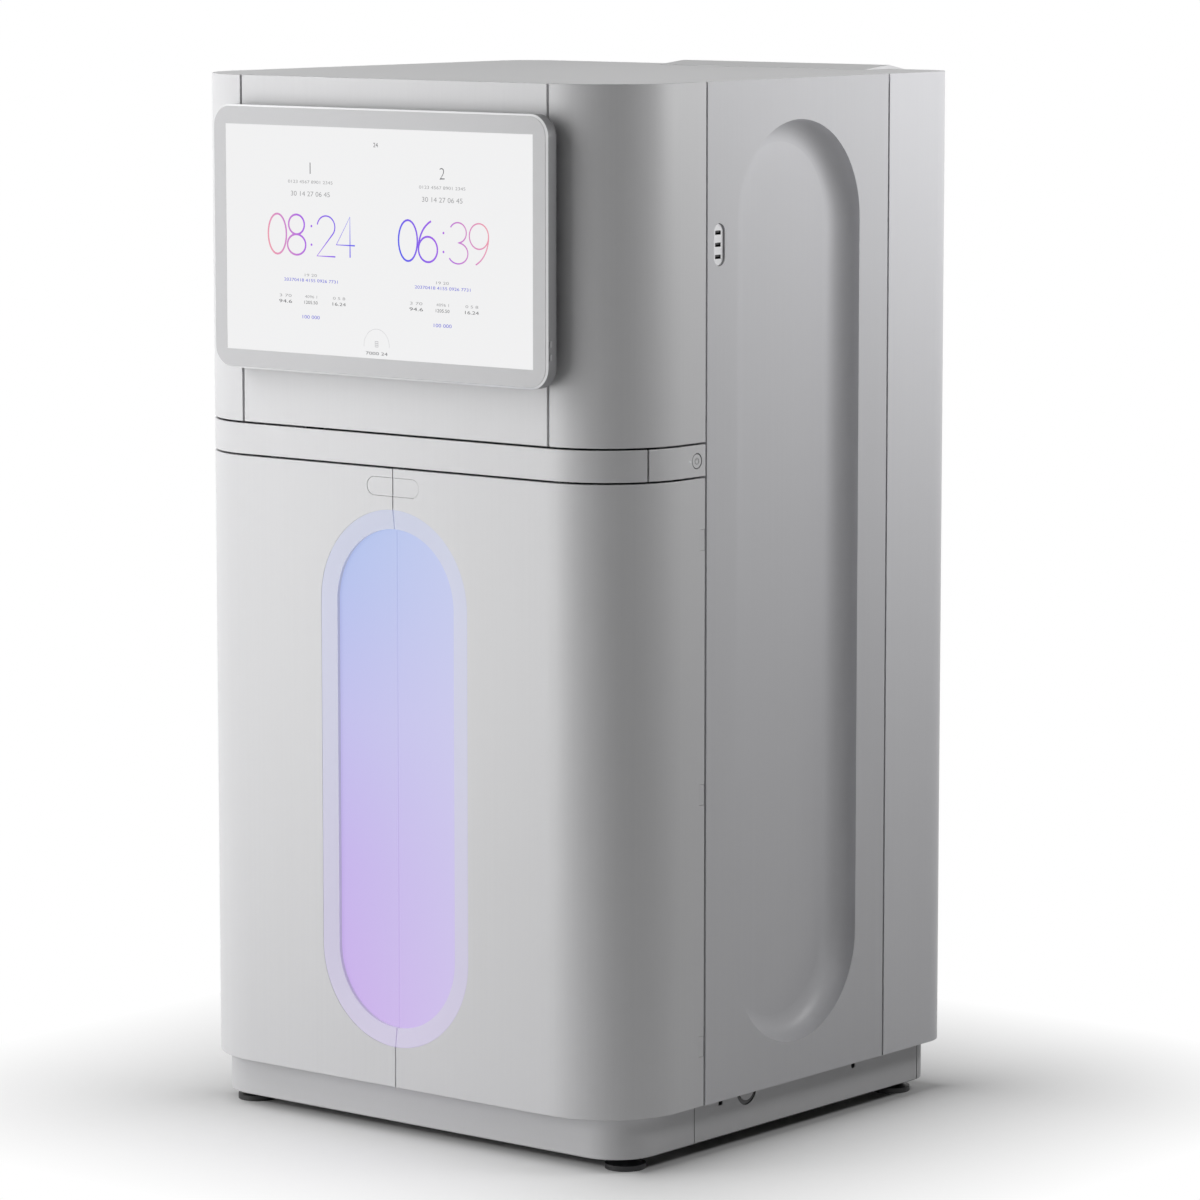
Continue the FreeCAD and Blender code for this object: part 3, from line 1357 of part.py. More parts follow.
def make_latch_cup():
    """Box behind the latch pad that guides it, moulded to the door's back."""
    half = "(latch_height / 2 + latch_gap)"
    low = f"({FRONT} + shell_wall - 1)"
    back = f"({FRONT} + latch_thick + latch_travel + trim_edge + 3.5)"
    whole = box(
        "latch_cup_block",
        ("door_gap / 2", low, f"{LATCH_MID} - {half} - 2"),
        ("latch_width / 2 + latch_gap + 2", back, f"{LATCH_MID} + {half} + 2"))
    inside = box(
        "latch_cup_hollow",
        ("door_gap / 2 + cup_wall", f"{low} - 1", f"{LATCH_MID} - {half}"),
        ("latch_width / 2 + latch_gap", f"{back} - 2", f"{LATCH_MID} + {half}"))
    lip_room = box(
        "latch_lip_room",
        ("0", f"{low} - 1", f"{LATCH_MID} - {half}"),
        ("door_gap / 2 + cup_wall + 1", f"{FRONT} + trim_edge + latch_lip + latch_travel + seat_play",
         f"{LATCH_MID} + {half}"))
    return cut("latch_cup", cut("latch_cup_open", whole, inside), lip_room)


def make_latch_pads():
    owner = body("right_latch_body")
    radius = "(latch_height / 2)"
    end = "(latch_width / 2 - latch_height / 2)"
    for name, start, thick in (
            ("lip", "(door_gap / 2)", "latch_lip"),
            ("block", "(door_gap / 2 + cup_wall + latch_gap)", "latch_thick")):
        outline = [
            (start, f"{LATCH_MID} - {radius}"),
            (end, f"{LATCH_MID} - {radius}", end, LATCH_MID, 1),
            (end, f"{LATCH_MID} + {radius}"),
            (start, f"{LATCH_MID} + {radius}"),
        ]
        sketch = draw(owner, f"latch_{name}_outline", "XZ_Plane", f"-({FRONT} + trim_edge)", [outline])
        feature = pad(owner, sketch, thick, f"latch_pad_{name}")
        feature.Reversed = True
        document.recompute()
    node(owner, "right_latch_pad")
    node(mirrored("left_latch_twin", owner), "left_latch_pad")


def make_window():
    """Sloped frame and diffusing lens in each door's half of the window."""
    start = "(door_gap / 2)"
    outer = "(window_width / 2 - seat_play)"
    half_height = f"({WINDOW_HALF} - seat_play)"
    inner = "(window_width / 2 - trim_width)"
    trim = body("right_window_trim_body")
    slope_low = f"-({FRONT} + trim_edge)"
    slope_deep = f"-({FRONT} + trim_edge + trim_slope)"
    front_ring = half_ring(start, WINDOW_MID, outer, f"({outer} - 1)", half_height)
    back_ring = half_ring(start, WINDOW_MID, outer, inner, half_height)
    first = draw(trim, "trim_front_ring", "XZ_Plane", slope_low, [front_ring])
    second = draw(trim, "trim_back_ring", "XZ_Plane", slope_deep, [back_ring])
    loft = trim.newObject("PartDesign::AdditiveLoft", "trim_slope_loft")
    loft.Profile = first
    loft.Sections = [second]
    loft.Ruled = True
    document.recompute()
    third = draw(trim, "trim_step_ring", "XZ_Plane", slope_deep, [back_ring])
    step = pad(trim, third, "trim_depth - trim_slope", "trim_step")
    step.Reversed = True
    document.recompute()
    lap_start = "(door_gap / 2 + shell_wall + seat_play)"
    lap_ring = half_ring(
        lap_start, WINDOW_MID, f"({outer} + trim_lap)", f"({outer} - 1)", f"({half_height} + trim_lap)")
    fourth = draw(trim, "trim_lap_ring", "XZ_Plane", f"-({FRONT} + shell_wall)", [lap_ring])
    lap = pad(trim, fourth, "trim_depth + trim_edge - shell_wall", "trim_lap_flange")
    lap.Reversed = True
    document.recompute()
    node(trim, "right_window_trim")
    node(mirrored("left_trim_twin", trim), "left_window_trim")

    lens = body("right_window_lens_body")
    plate = half_stadium(
        start, WINDOW_MID, f"({inner} + trim_lap * 2)",
        f"({half_height} - trim_width + seat_play + trim_lap * 2)")
    sketch = draw(lens, "lens_outline", "XZ_Plane", f"-({FRONT} + trim_edge + trim_depth)", [plate])
    sheet_pad = pad(lens, sketch, "lens_thick", "lens_plate")
    sheet_pad.Reversed = True
    document.recompute()
    node(lens, "right_window_lens")
    node(mirrored("left_lens_twin", lens), "left_window_lens")


def make_hinges():
    """Fixed knuckles on leaves screwed to the front posts, with their pins."""
    hinges = []
    for index in range(HINGES):
        low = knuckle_low(index)
        half = "(hinge_radius - seat_play)"
        block = box(
            f"knuckle_block_{index}", (f"{HINGE_X} - {half}", f"{HINGE_Y} - {half}", low),
            (f"{HINGE_X} + {half}", f"{HINGE_Y} + {half}", f"{low} + knuckle_height"))
        barrel = cylinder(
            f"knuckle_barrel_{index}", (HINGE_X, HINGE_Y, low), "knuckle_reach", "knuckle_height")
        knuckle = shared(f"knuckle_{index}", [block, barrel])
        leaf = box(
            f"hinge_leaf_{index}",
            (f"{POST_IN} + 5", f"{POST_FRONT} - leaf_thick", low),
            (HINGE_X, POST_FRONT, f"{low} + knuckle_height"))
        pin = cylinder(
            f"hinge_pin_{index}", (HINGE_X, HINGE_Y, f"{low} + knuckle_height / 2 - pin_length / 2"),
            "pin_radius", "pin_length")
        hinge = fuse(f"right_hinge_{index}", [knuckle, leaf, pin])
        hinges.append(hinge)
        hinges.append(mirrored(f"left_hinge_{index}", hinge))
    node(group("door_hinge_set", hinges), "door_hinges")


# Band

def band_point(radius, angle, sign=""):
    x_text = f"{sign}({CORNER_X} + ({radius}) * sin({angle}))"
    return x_text, f"({CORNER_Y} - ({radius}) * cos({angle}))"


def make_band():
    inner = "(front_radius - shell_wall)"
    split = "(band_split_angle)"
    height = f"{BAND_HIGH} - {BAND_LOW}"
    front = body("shelf_front_body")
    left_out = band_point("front_radius", split, "-")
    right_out = band_point("front_radius", split)
    right_in = band_point(inner, split)
    left_in = band_point(inner, split, "-")
    plan = [
        (*left_out, f"-{CORNER_X}", CORNER_Y, 1),
        (f"-{CORNER_X}", FRONT),
        (CORNER_X, FRONT, CORNER_X, CORNER_Y, 1),
        right_out,
        (*right_in, CORNER_X, CORNER_Y, -1),
        (CORNER_X, f"{FRONT} + shell_wall"),
        (f"-{CORNER_X}", f"{FRONT} + shell_wall", f"-{CORNER_X}", CORNER_Y, -1),
        left_in,
    ]
    sketch = draw(front, "shelf_front_plan", "XY_Plane", BAND_LOW, [plan])
    pad(front, sketch, height, "shelf_front_wall")
    dress(
        front, "PartDesign::Fillet", "shelf_front_edges", "edge_round",
        lambda p: on_front_skin(p) and (near(p.z, BAND_LOW) or near(p.z, BAND_HIGH)))
    node(front, "shelf_front")

    cap = body("right_band_cap_body")
    start = "(band_split_angle + seam_gap / front_radius * 57.3)"
    seam = f"({SIDE_SEAM} - side_gap / 2)"
    plan = [
        (*band_point("front_radius", start), CORNER_X, CORNER_Y, 1),
        (SIDE, CORNER_Y),
        (SIDE, seam),
        (POST_IN, seam),
        (POST_IN, f"{seam} - shell_wall"),
        (f"({SIDE} - shell_wall)", f"{seam} - shell_wall"),
        (f"({SIDE} - shell_wall)", CORNER_Y, CORNER_X, CORNER_Y, -1),
        band_point(inner, start),
    ]
    sketch = draw(cap, "band_cap_plan", "XY_Plane", BAND_LOW, [plan])
    pad(cap, sketch, height, "band_cap_wall")
    dress(
        cap, "PartDesign::Fillet", "band_cap_edges", "edge_round",
        lambda p: on_front_skin(p) and (near(p.z, BAND_LOW) or near(p.z, BAND_HIGH)))
    bore = cylinder(
        "button_bore", (f"{SIDE} - shell_wall - 1", BUTTON_Y, BAND_MID),
        "button_radius + button_play", "shell_wall + 2", "x")
    caps = [cut("right_band_cap", cap, bore), mirrored("left_band_cap", cap)]
    node(group("band_cap_pair", caps), "band_end_caps")


BUTTON_Y = f"({SIDE_SEAM} - button_ahead)"


def make_power_button():
    back = f"({SIDE} - shell_wall - switch_depth)"
    bore_radius = "(button_radius + button_play)"
    outer = cylinder(
        "switch_outer", (back, BUTTON_Y, BAND_MID), f"{bore_radius} + switch_wall", "switch_depth", "x")
    inner = cylinder(
        "switch_inner", (f"{back} + switch_wall", BUTTON_Y, BAND_MID), bore_radius, "switch_depth", "x")
    node(cut("switch_cup", outer, inner), "power_switch")
    face = f"({SIDE} - seat_play)"
    cap = cylinder(
        "button_cap", (f"{face} - button_thick", BUTTON_Y, BAND_MID), "button_radius",
        "button_thick - button_bevel", "x")
    rim = cone(
        "button_rim", (f"{face} - button_bevel", BUTTON_Y, BAND_MID), "button_radius",
        "button_radius - button_bevel", "button_bevel", "x")
    stem_start = f"({back} + switch_wall + button_travel + button_play)"
    stem = cylinder(
        "button_stem_rod", (stem_start, BUTTON_Y, BAND_MID), "button_stem",
        f"{face} - button_bevel - 1 - {stem_start}", "x")
    node(fuse("button_whole", [cap, rim, stem]), "power_button")


def make_shelf():
    low = f"({LOWER_DECK} + deck_thick + shelf_rise)"
    front = f"({FRONT} + shell_wall)"
    half = SHELF_HALF
    whole = box(
        "shelf_block", (f"-{half}", front, low), (half, f"{front} + shelf_depth", f"{low} + shelf_rim"))
    inside = box(
        "shelf_hollow", (f"-{half} + shelf_wall", f"{front} + shelf_wall", f"{low} + shelf_wall"),
        (f"{half} - shelf_wall", f"{front} + shelf_depth - shelf_wall", f"{low} + shelf_rim + 1"))
    tray = cut("shelf_pan", whole, inside)
    node(tray, "shelf_tray")
    rails = []
    for side, sign in (("right", 1), ("left", -1)):
        near_x = f"({SHELF_HALF} + seat_play)"
        far_x = f"({SHELF_HALF} + seat_play + slide_thick)"
        low_x, high_x = (near_x, far_x) if sign > 0 else (f"-{far_x}", f"-{near_x}")
        rails.append(box(
            f"shelf_slide_{side}",
            (low_x, f"{FRONT} + deck_front + 12", f"{LOWER_DECK} + deck_thick"),
            (high_x, f"{front} + shelf_depth", f"{LOWER_DECK} + deck_thick + shelf_rise + slide_height")))
    node(group("shelf_rail_pair", rails), "shelf_rails")


# Visor and monitor

def make_visor():
    owner = body("visor_panel_body")
    face = rectangle(f"-{VISOR_HALF}", VISOR_HALF, VISOR_LOW, "body_height")
    sketch = draw(owner, "visor_face", "XZ_Plane", f"-({FRONT} + visor_depth)", [face])
    pad(owner, sketch, "visor_depth", "visor_block")
    inside = rectangle(
        f"-{VISOR_HALF} + shell_wall", f"{VISOR_HALF} - shell_wall",
        f"{VISOR_LOW} + shell_wall", "body_height - shell_wall")
    sketch = draw(owner, "visor_inside", "XZ_Plane", f"-({FRONT} + visor_depth + 1)", [inside])
    reverse_pocket(owner, sketch, "visor_depth - shell_wall + 1", "visor_hollow")
    dress(
        owner, "PartDesign::Fillet", "visor_edges", "edge_round",
        lambda p: near(p.y, FRONT))
    node(owner, "visor_panel")

    start = f"({FRONT} + visor_depth)"
    low = f"({VISOR_LOW} + bar_first)"
    pieces = [box(
        "carriage_plate", (f"-{RAIL_X} * 0.6", start, low),
        (f"{RAIL_X} * 0.6", f"{start} + carriage_thick", f"{low} + bar_pitch + bar_height"))]
    for index in range(2):
        bottom = f"({low} + bar_pitch * {index})"
        top = f"({bottom} + bar_height)"
        pieces.append(box(
            f"carriage_bar_{index}", (f"-{WING_HALF}", start, bottom),
            (WING_HALF, f"{start} + carriage_thick", top)))
        for side, sign in (("right", ""), ("left", "-")):
            centre = f"({sign}{RAIL_X})"
            block = box(
                f"carriage_block_{index}_{side}",
                (f"{centre} - block_width / 2", f"{start} + carriage_thick - 0.5", bottom),
                (f"{centre} + block_width / 2", f"{FRONT} + rail_back - block_lap", top))
            groove = box(
                f"carriage_groove_{index}_{side}",
                (f"{centre} - rail_width / 2 - seat_play",
                 f"{FRONT} + rail_back - rail_thick - seat_play", f"{bottom} - 1"),
                (f"{centre} + rail_width / 2 + seat_play", f"{FRONT} + rail_back", f"{top} + 1"))
            pieces.append(cut(f"carriage_shoe_{index}_{side}", block, groove))
    node(fuse("carriage_whole", pieces), "visor_carriage")

    rails = []
    for side, sign in (("right", ""), ("left", "-")):
        centre = f"({sign}{RAIL_X})"
        rails.append(box(
            f"visor_rail_{side}",
            (f"{centre} - rail_width / 2", f"{FRONT} + rail_back - rail_thick", f"{BAY_FLOOR} + 5"),
            (f"{centre} + rail_width / 2", f"{FRONT} + rail_back", f"{TOP_TUBE} - 2")))
    node(group("visor_rail_pair", rails), "visor_rails")


MONITOR_FRONT = f"({FRONT} - monitor_reach)"
MONITOR_TOP = "(body_height - monitor_drop)"
MONITOR_LOW = f"({MONITOR_TOP} - monitor_height)"


def make_monitor():
    owner = body("monitor_body")
    half = "(monitor_width / 2)"
    outline = rounded_plate(half, MONITOR_LOW, MONITOR_TOP, "monitor_radius", "monitor_radius")
    back = f"({MONITOR_FRONT} + monitor_thick)"
    sketch = draw(owner, "monitor_outline", "XZ_Plane", f"-({back})", [outline])
    pad(owner, sketch, "monitor_thick", "monitor_block")
    dress(
        owner, "PartDesign::Chamfer", "monitor_bevel", "monitor_chamfer",
        lambda p: near(p.y, MONITOR_FRONT))
    dress(
        owner, "PartDesign::Fillet", "monitor_back_round", "monitor_chamfer",
        lambda p: near(p.y, back))
    glass = display_outline()
    sketch = draw(owner, "display_opening", "XZ_Plane", f"-({MONITOR_FRONT} - 1)", [glass])
    pocket(owner, sketch, "display_thick + 1", "display_seat")
    housing = owner
    for index in range(2):
        slot = key_block(index, f"key_slot_{index}", "seat_play")
        housing = cut(f"monitor_key_slot_cut_{index}", housing, slot)
    bracket = box(
        "bracket_block",
        ("-bracket_width / 2", f"{back} - 1", f"{MONITOR_TOP} - monitor_height / 2 - bracket_width / 2"),
        ("bracket_width / 2", FRONT, f"{MONITOR_TOP} - monitor_height / 2 + bracket_width / 2"))
    node(fuse("monitor_with_bracket", [housing, bracket]), "monitor_housing")

    display = body("display_body")
    sketch = draw(
        display, "display_outline", "XZ_Plane", f"-({MONITOR_FRONT} + display_thick)", [display_outline()])
    pad(display, sketch, "display_thick - 0.3", "display_plate")
    node(display, "display")

    for index, label in enumerate(("monitor_key_lower", "monitor_key_upper")):
        node(key_block(index, f"key_{index}", "0"), label)


def display_outline():
    half = "(monitor_width / 2 - bezel_side)"
    return rectangle(f"-{half}", half, f"{MONITOR_LOW} + bezel_end", f"{MONITOR_TOP} - bezel_end")


def key_block(index, name, play):
    """Small key in the monitor's right edge, or its slot if play is given."""
    low = f"({MONITOR_LOW} + key_lower + key_pitch * {index} - key_height / 2)"
    front = f"({MONITOR_FRONT} + key_back)"
    depth = "(key_depth + key_travel + seat_play)" if play != "0" else "key_depth"
    return box(
        name,
        (f"monitor_width / 2 - {depth}", f"{front} - key_width / 2 - {play}", f"{low} - {play}"),
        (
            "monitor_width / 2 + key_proud", f"{front} + key_width / 2 + {play}",
            f"{low} + key_height + {play}"))


# Flow cell bay

def make_upper_bay():
    owner = body("upper_bay_liner_body")
    front = f"({FRONT} + rail_back)"
    back = f"({FRONT} + liner_back)"
    outer = f"({LINER_HALF} + liner_wall)"
    plan = [
        (LINER_FLANGE, front),
        (LINER_FLANGE, f"{front} + liner_wall"),
        (outer, f"{front} + liner_wall"),
        (outer, f"{back} + liner_wall"),
        (f"-{outer}", f"{back} + liner_wall"),
        (f"-{outer}", f"{front} + liner_wall"),
        (f"-{LINER_FLANGE}", f"{front} + liner_wall"),
        (f"-{LINER_FLANGE}", front),
        (f"-{LINER_HALF}", front),
        (f"-{LINER_HALF}", back),
        (LINER_HALF, back),
        (LINER_HALF, front),
    ]
    sketch = draw(owner, "liner_plan", "XY_Plane", BAY_FLOOR, [plan])
    pad(owner, sketch, f"{TOP_TUBE} - {BAY_FLOOR}", "liner_wall_sheet")
    node(owner, "upper_bay_liner")


def make_stage():
    front = f"({FRONT} + stage_front)"
    low = BAY_FLOOR
    top = f"({low} + stage_thick)"
    pieces = [box(
        "stage_block", ("-stage_width / 2", front, low), ("stage_width / 2", f"{front} + stage_depth", top))]
    for side, sign in (("right", ""), ("left", "-")):
        centre = f"({sign}stage_rail_gap / 2)"
        pieces.append(box(
            f"stage_rail_{side}",
            (f"{centre} - stage_rail_width / 2", f"{front} + 10", f"{top} - 0.5"),
            (
                f"{centre} + stage_rail_width / 2", f"{front} + stage_depth - 10",
                f"{top} + stage_rail_height")))
    node(fuse("stage_base_whole", pieces), "stage_base")

    table_low = f"({top} + stage_rail_height + seat_play)"
    start = f"({front} + table_front)"
    parts = [box(
        "table_plate", ("-table_width / 2", start, table_low),
        ("table_width / 2", f"{start} + table_depth", f"{table_low} + table_thick"))]
    for side, sign in (("right", ""), ("left", "-")):
        for index in range(2):
            centre = f"({sign}stage_rail_gap / 2)"
            block_start = f"({start} + 10 + (table_depth - 60) * {index})"
            block = box(
                f"table_block_{side}_{index}",
                (f"{centre} - block_width / 2", block_start, f"{table_low} - stage_rail_height * 0.7"),
                (f"{centre} + block_width / 2", f"{block_start} + bar_height", f"{table_low} + 1"))
            groove = box(
                f"table_groove_{side}_{index}",
                (f"{centre} - stage_rail_width / 2 - seat_play", f"{block_start} - 1",
                 f"{table_low} - stage_rail_height"),
                (
                    f"{centre} + stage_rail_width / 2 + seat_play", f"{block_start} + bar_height + 1",
                    table_low))
            parts.append(cut(f"table_shoe_{side}_{index}", block, groove))
    node(fuse("stage_table_whole", parts), "stage_table")

    cells = []
    cell_low = f"({table_low} + table_thick)"
    for side, sign in (("right", ""), ("left", "-")):
        centre = f"({sign}cell_spacing / 2)"
        cells.append(box(
            f"cell_{side}",
            (f"{centre} - cell_width / 2", f"{start} + (table_depth - cell_depth) / 2", cell_low),
            (
                f"{centre} + cell_width / 2", f"{start} + (table_depth + cell_depth) / 2",
                f"{cell_low} + cell_thick")))
    node(group("flow_cell_pair", cells), "flow_cells")


def make_optics():
    owner = body("optics_cover_body")
    front = f"({FRONT} + optics_front)"
    back = f"({FRONT} + liner_back)"
    half = f"({LINER_HALF} - seat_play)"
    side = [
        (front, OPTICS_FLOOR),
        (back, OPTICS_FLOOR),
        (back, f"{OPTICS_FLOOR} + liner_wall"),
        (f"{front} + liner_wall", f"{OPTICS_FLOOR} + liner_wall"),
        (f"{front} + liner_wall", TOP_TUBE),
        (front, TOP_TUBE),
    ]
    sketch = draw(owner, "optics_side", "YZ_Plane", f"-{half}", [side])
    pad(owner, sketch, f"{half} * 2", "optics_sheet")
    node(owner, "optics_cover")

    heads = []
    nose = "(objective_radius - objective_nose)"
    for side_name, sign in (("right", ""), ("left", "-")):
        at_x = f"({sign}cell_spacing / 2)"
        at_y = f"({FRONT} + objective_back)"
        barrel = cylinder(
            f"objective_barrel_{side_name}", (at_x, at_y, f"{OPTICS_FLOOR} - objective_length * 0.7"),
            "objective_radius", "objective_length * 0.7")
        tip = cone(
            f"objective_tip_{side_name}", (at_x, at_y, f"{OPTICS_FLOOR} - objective_length"),
            nose, "objective_radius", "objective_length * 0.3")
        heads.append(fuse(f"objective_{side_name}", [barrel, tip]))
    node(group("objective_pair", heads), "objectives")


# Fluidics bay

def make_lower_bay():
    owner = body("bay_liner_body")
    front = f"({FRONT} + bay_front)"
    back = f"({front} + bay_depth)"
    outer = f"({BAY_HALF} + bay_wall)"
    plan = [
        (f"-{outer}", front),
        (f"-{BAY_HALF}", front),
        (f"-{BAY_HALF}", back),
        (f"-bay_wall / 2", back),
        (f"-bay_wall / 2", front),
        (f"bay_wall / 2", front),
        (f"bay_wall / 2", back),
        (BAY_HALF, back),
        (BAY_HALF, front),
        (outer, front),
        (outer, f"{back} + bay_wall"),
        (f"-{outer}", f"{back} + bay_wall"),
    ]
    sketch = draw(owner, "bay_plan", "XY_Plane", SKIRT_TOP, [plan])
    pad(owner, sketch, f"{LOWER_DECK} - {SKIRT_TOP}", "bay_sheet")

    drawers = []
    low_x = f"(-{BAY_HALF} + drawer_gap)"
    high_x = "(-bay_wall / 2 - drawer_gap)"
    floor = SKIRT_TOP
    for index in range(2):
        low = f"({floor} + chiller_floor + (chiller_height + drawer_gap) * {index})"
        drawers.append(drawer(f"chiller_{index}", low_x, high_x, low, "chiller_height"))
    node(group("chiller_drawer_pair", drawers), "reagent_drawers")

    plinth = box(
        "chiller_plinth", (f"-{BAY_HALF} - 0.5", f"{front} + 20", floor),
        ("-bay_wall / 2 + 0.5", f"{front} + drawer_depth", f"{floor} + chiller_floor"))
    head_low = f"({floor} + chiller_floor + (chiller_height + drawer_gap) * 2)"
    head = box(
        "chiller_head", (f"-{BAY_HALF} - 0.5", f"{front} + 20", head_low),
        ("-bay_wall / 2 + 0.5", f"{front} + drawer_depth", f"{head_low} + chiller_floor"))

    right_low = "(bay_wall / 2 + drawer_gap)"
    right_high = f"({BAY_HALF} - drawer_gap)"
    buffer_low = f"({floor} + tray_height + bottle_height + cap_height + drawer_gap * 12)"
    node(drawer("buffer", right_low, right_high, buffer_low, "chiller_height"), "buffer_drawer")

    tray_outer = box(
        "drip_tray_outer", ("bay_wall / 2 - 0.5", f"{front} + 10", floor),
        (f"{BAY_HALF} + 0.5", f"{front} + drawer_depth", f"{floor} + tray_height"))
    tray_inner = box(
        "drip_tray_inner", (f"{right_low} + bay_wall", f"{front} + 10 + bay_wall", f"{floor} + bay_wall"),
        (f"{right_high} - bay_wall", f"{front} + drawer_depth - bay_wall", f"{floor} + tray_height + 1"))
    tray = cut("drip_tray_pan", tray_outer, tray_inner)
    node(fuse("bay_liner_whole", [owner, plinth, head, tray]), "bay_liner")
    bottles = []
    middle = f"(({right_low} + {right_high}) / 2)"
    for index in range(2):
        behind = f"(bottle_radius + (bottle_radius * 2 + 6) * {index})"
        at = (middle, f"{front} + 10 + bay_wall + 8 + {behind}", f"{floor} + bay_wall")
        bottles.append(bottle(index, at))
    node(group("bottle_pair", bottles), "waste_bottles")


def drawer(name, low_x, high_x, low_z, height):
    """Drawer with a thick front, a finger pull and an open tray behind it."""
    front = f"({FRONT} + bay_front + 2)"
    middle = f"(({low_x} + {high_x}) / 2)"
    face = box(
        f"{name}_face", (low_x, front, low_z),
        (high_x, f"{front} + drawer_front", f"{low_z} + {height}"))
    grip = box(
        f"{name}_grip_recess",
        (f"{middle} - pull_width / 2", f"{front} - 1", f"{low_z} + {height} * 0.55"),
        (
            f"{middle} + pull_width / 2", f"{front} + drawer_front * 0.6",
            f"{low_z} + {height} * 0.55 + pull_height"))
    plate = cut(f"{name}_front_plate", face, grip)
    outer = box(
        f"{name}_tray_outer",
        (f"{low_x} + 8", f"{front} + drawer_front - 0.5", f"{low_z} + 6"),
        (f"{high_x} - 8", f"{front} + drawer_depth - 40", f"{low_z} + {height} * 0.7"))
    inner = box(
        f"{name}_tray_inner",
        (f"{low_x} + 8 + bay_wall", f"{front} + drawer_front + 2", f"{low_z} + 6 + bay_wall"),
        (f"{high_x} - 8 - bay_wall", f"{front} + drawer_depth - 40 - bay_wall", f"{low_z} + {height}"))
    parts = [plate, cut(f"{name}_tray", outer, inner)]
    for index, (start, end) in enumerate((
            (f"{low_x} - drawer_gap", f"{low_x} + 8.5"), (f"{high_x} - 8.5", f"{high_x} + drawer_gap"))):
        parts.append(box(
            f"{name}_runner_{index}", (start, f"{front} + drawer_front + 2", f"{low_z} + 20"),
            (end, f"{front} + drawer_depth - 40", f"{low_z} + 45")))
    return fuse(f"{name}_drawer_box", parts)


def bottle(index, at):
    """Round bottle with a cone shoulder and a screw cap, as one standing piece."""
    x_text, y_text, low = at
    wall_height = "(bottle_height - bottle_shoulder * 2)"
    trunk = cylinder(f"bottle_trunk_{index}", at, "bottle_radius", wall_height)
    shoulder = cone(
        f"bottle_shoulder_{index}", (x_text, y_text, f"{low} + {wall_height}"),
        "bottle_radius", "bottle_neck", "bottle_shoulder")
    neck = cylinder(
        f"bottle_neck_{index}", (x_text, y_text, f"{low} + {wall_height}"), "bottle_neck",
        "bottle_shoulder * 2")
    cap = cylinder(
        f"bottle_cap_{index}", (x_text, y_text, f"{low} + bottle_height - bottle_shoulder / 2"),
        "cap_radius", "cap_height")
    return fuse(f"bottle_{index}", [trunk, shoulder, neck, cap])


def make_service_space():
    rear = f"({POST_REAR} + tube)"
    supply = box(
        "supply_block", ("-supply_width", f"{rear} - supply_depth", SKIRT_TOP),
        ("0", rear, f"{SKIRT_TOP} + supply_height"))
    node(supply, "power_supply")
    controller = box(
        "controller_block", ("20", f"{rear} - controller_depth", SKIRT_TOP),
        (f"{POST_IN} - controller_gap", rear, f"{SKIRT_TOP} + controller_height"))
    node(controller, "control_computer")


for make in (
        make_base_frame, make_feet, make_cage, make_decks, make_floor_pan,
        make_skirt, make_upper_corners, make_rear_corners, make_side_panels, make_usb_plate,
        make_top_cover, make_rear_panel, make_plenum, make_fans, make_inlet, make_screws,
        make_doors, make_latch_pads, make_window, make_hinges, make_band, make_power_button,
        make_shelf, make_visor, make_monitor, make_upper_bay, make_stage, make_optics,
        make_lower_bay, make_service_space):
    make()
document.recompute()

for item in document.Objects:
    if "Invalid" in item.State or "Error" in item.State:
        raise ValueError(f"{item.Label} did not build: {item.State}")
labels = [piece.Label for piece in nodes]
if len(set(labels)) != len(labels):
    raise ValueError("two sub-parts share a name")
for piece in nodes:
    if piece.Shape.isNull() or not piece.Shape.isValid() or not piece.Shape.Solids:
        raise ValueError(f"{piece.Label} has no sound solid")

os.makedirs("parts", exist_ok=True)
for piece in nodes:
    piece.Shape.exportStep(os.path.join("parts", f"{piece.Label}.step"))
print(len(nodes), "sub-parts")
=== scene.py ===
import math

import bpy
from bpy.props import FloatProperty, FloatVectorProperty, PointerProperty, StringProperty
from mathutils import Matrix, Vector


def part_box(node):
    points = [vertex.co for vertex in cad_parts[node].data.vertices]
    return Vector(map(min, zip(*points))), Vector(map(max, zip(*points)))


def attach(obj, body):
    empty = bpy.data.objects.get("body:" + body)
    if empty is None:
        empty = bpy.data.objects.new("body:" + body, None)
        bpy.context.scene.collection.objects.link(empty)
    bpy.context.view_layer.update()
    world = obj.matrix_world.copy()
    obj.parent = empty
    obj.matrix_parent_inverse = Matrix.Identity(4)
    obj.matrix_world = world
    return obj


bl_info = {
    "name": "Floor-standing sequencer",
    "version": (1, 0, 0),
    "blender": (4, 5, 0),
    "location": "3D View > Sidebar > Sequencer",
    "description": "Finishes, screen, window and studio for the sequencing instrument",
    "category": "Object",
}

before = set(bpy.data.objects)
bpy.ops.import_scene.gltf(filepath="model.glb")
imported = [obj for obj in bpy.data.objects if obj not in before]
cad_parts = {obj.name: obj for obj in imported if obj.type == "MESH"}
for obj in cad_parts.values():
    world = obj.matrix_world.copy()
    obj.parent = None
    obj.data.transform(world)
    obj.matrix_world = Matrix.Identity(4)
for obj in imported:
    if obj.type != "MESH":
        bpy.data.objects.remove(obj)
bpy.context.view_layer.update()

BAND_LOW, BAND_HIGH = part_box("band_end_caps")
LENS_LOW, LENS_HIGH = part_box("right_window_lens")
TRIM_LOW, TRIM_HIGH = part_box("right_window_trim")
BUTTON_LOW, BUTTON_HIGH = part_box("power_button")
PORT_LOW, PORT_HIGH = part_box("usb_plate")
SCREWS_LOW, SCREWS_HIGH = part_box("rear_panel_screws")
BOTTLES_LOW, BOTTLES_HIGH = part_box("waste_bottles")
SKIRT_LOW, SKIRT_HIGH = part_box("skirt_right")
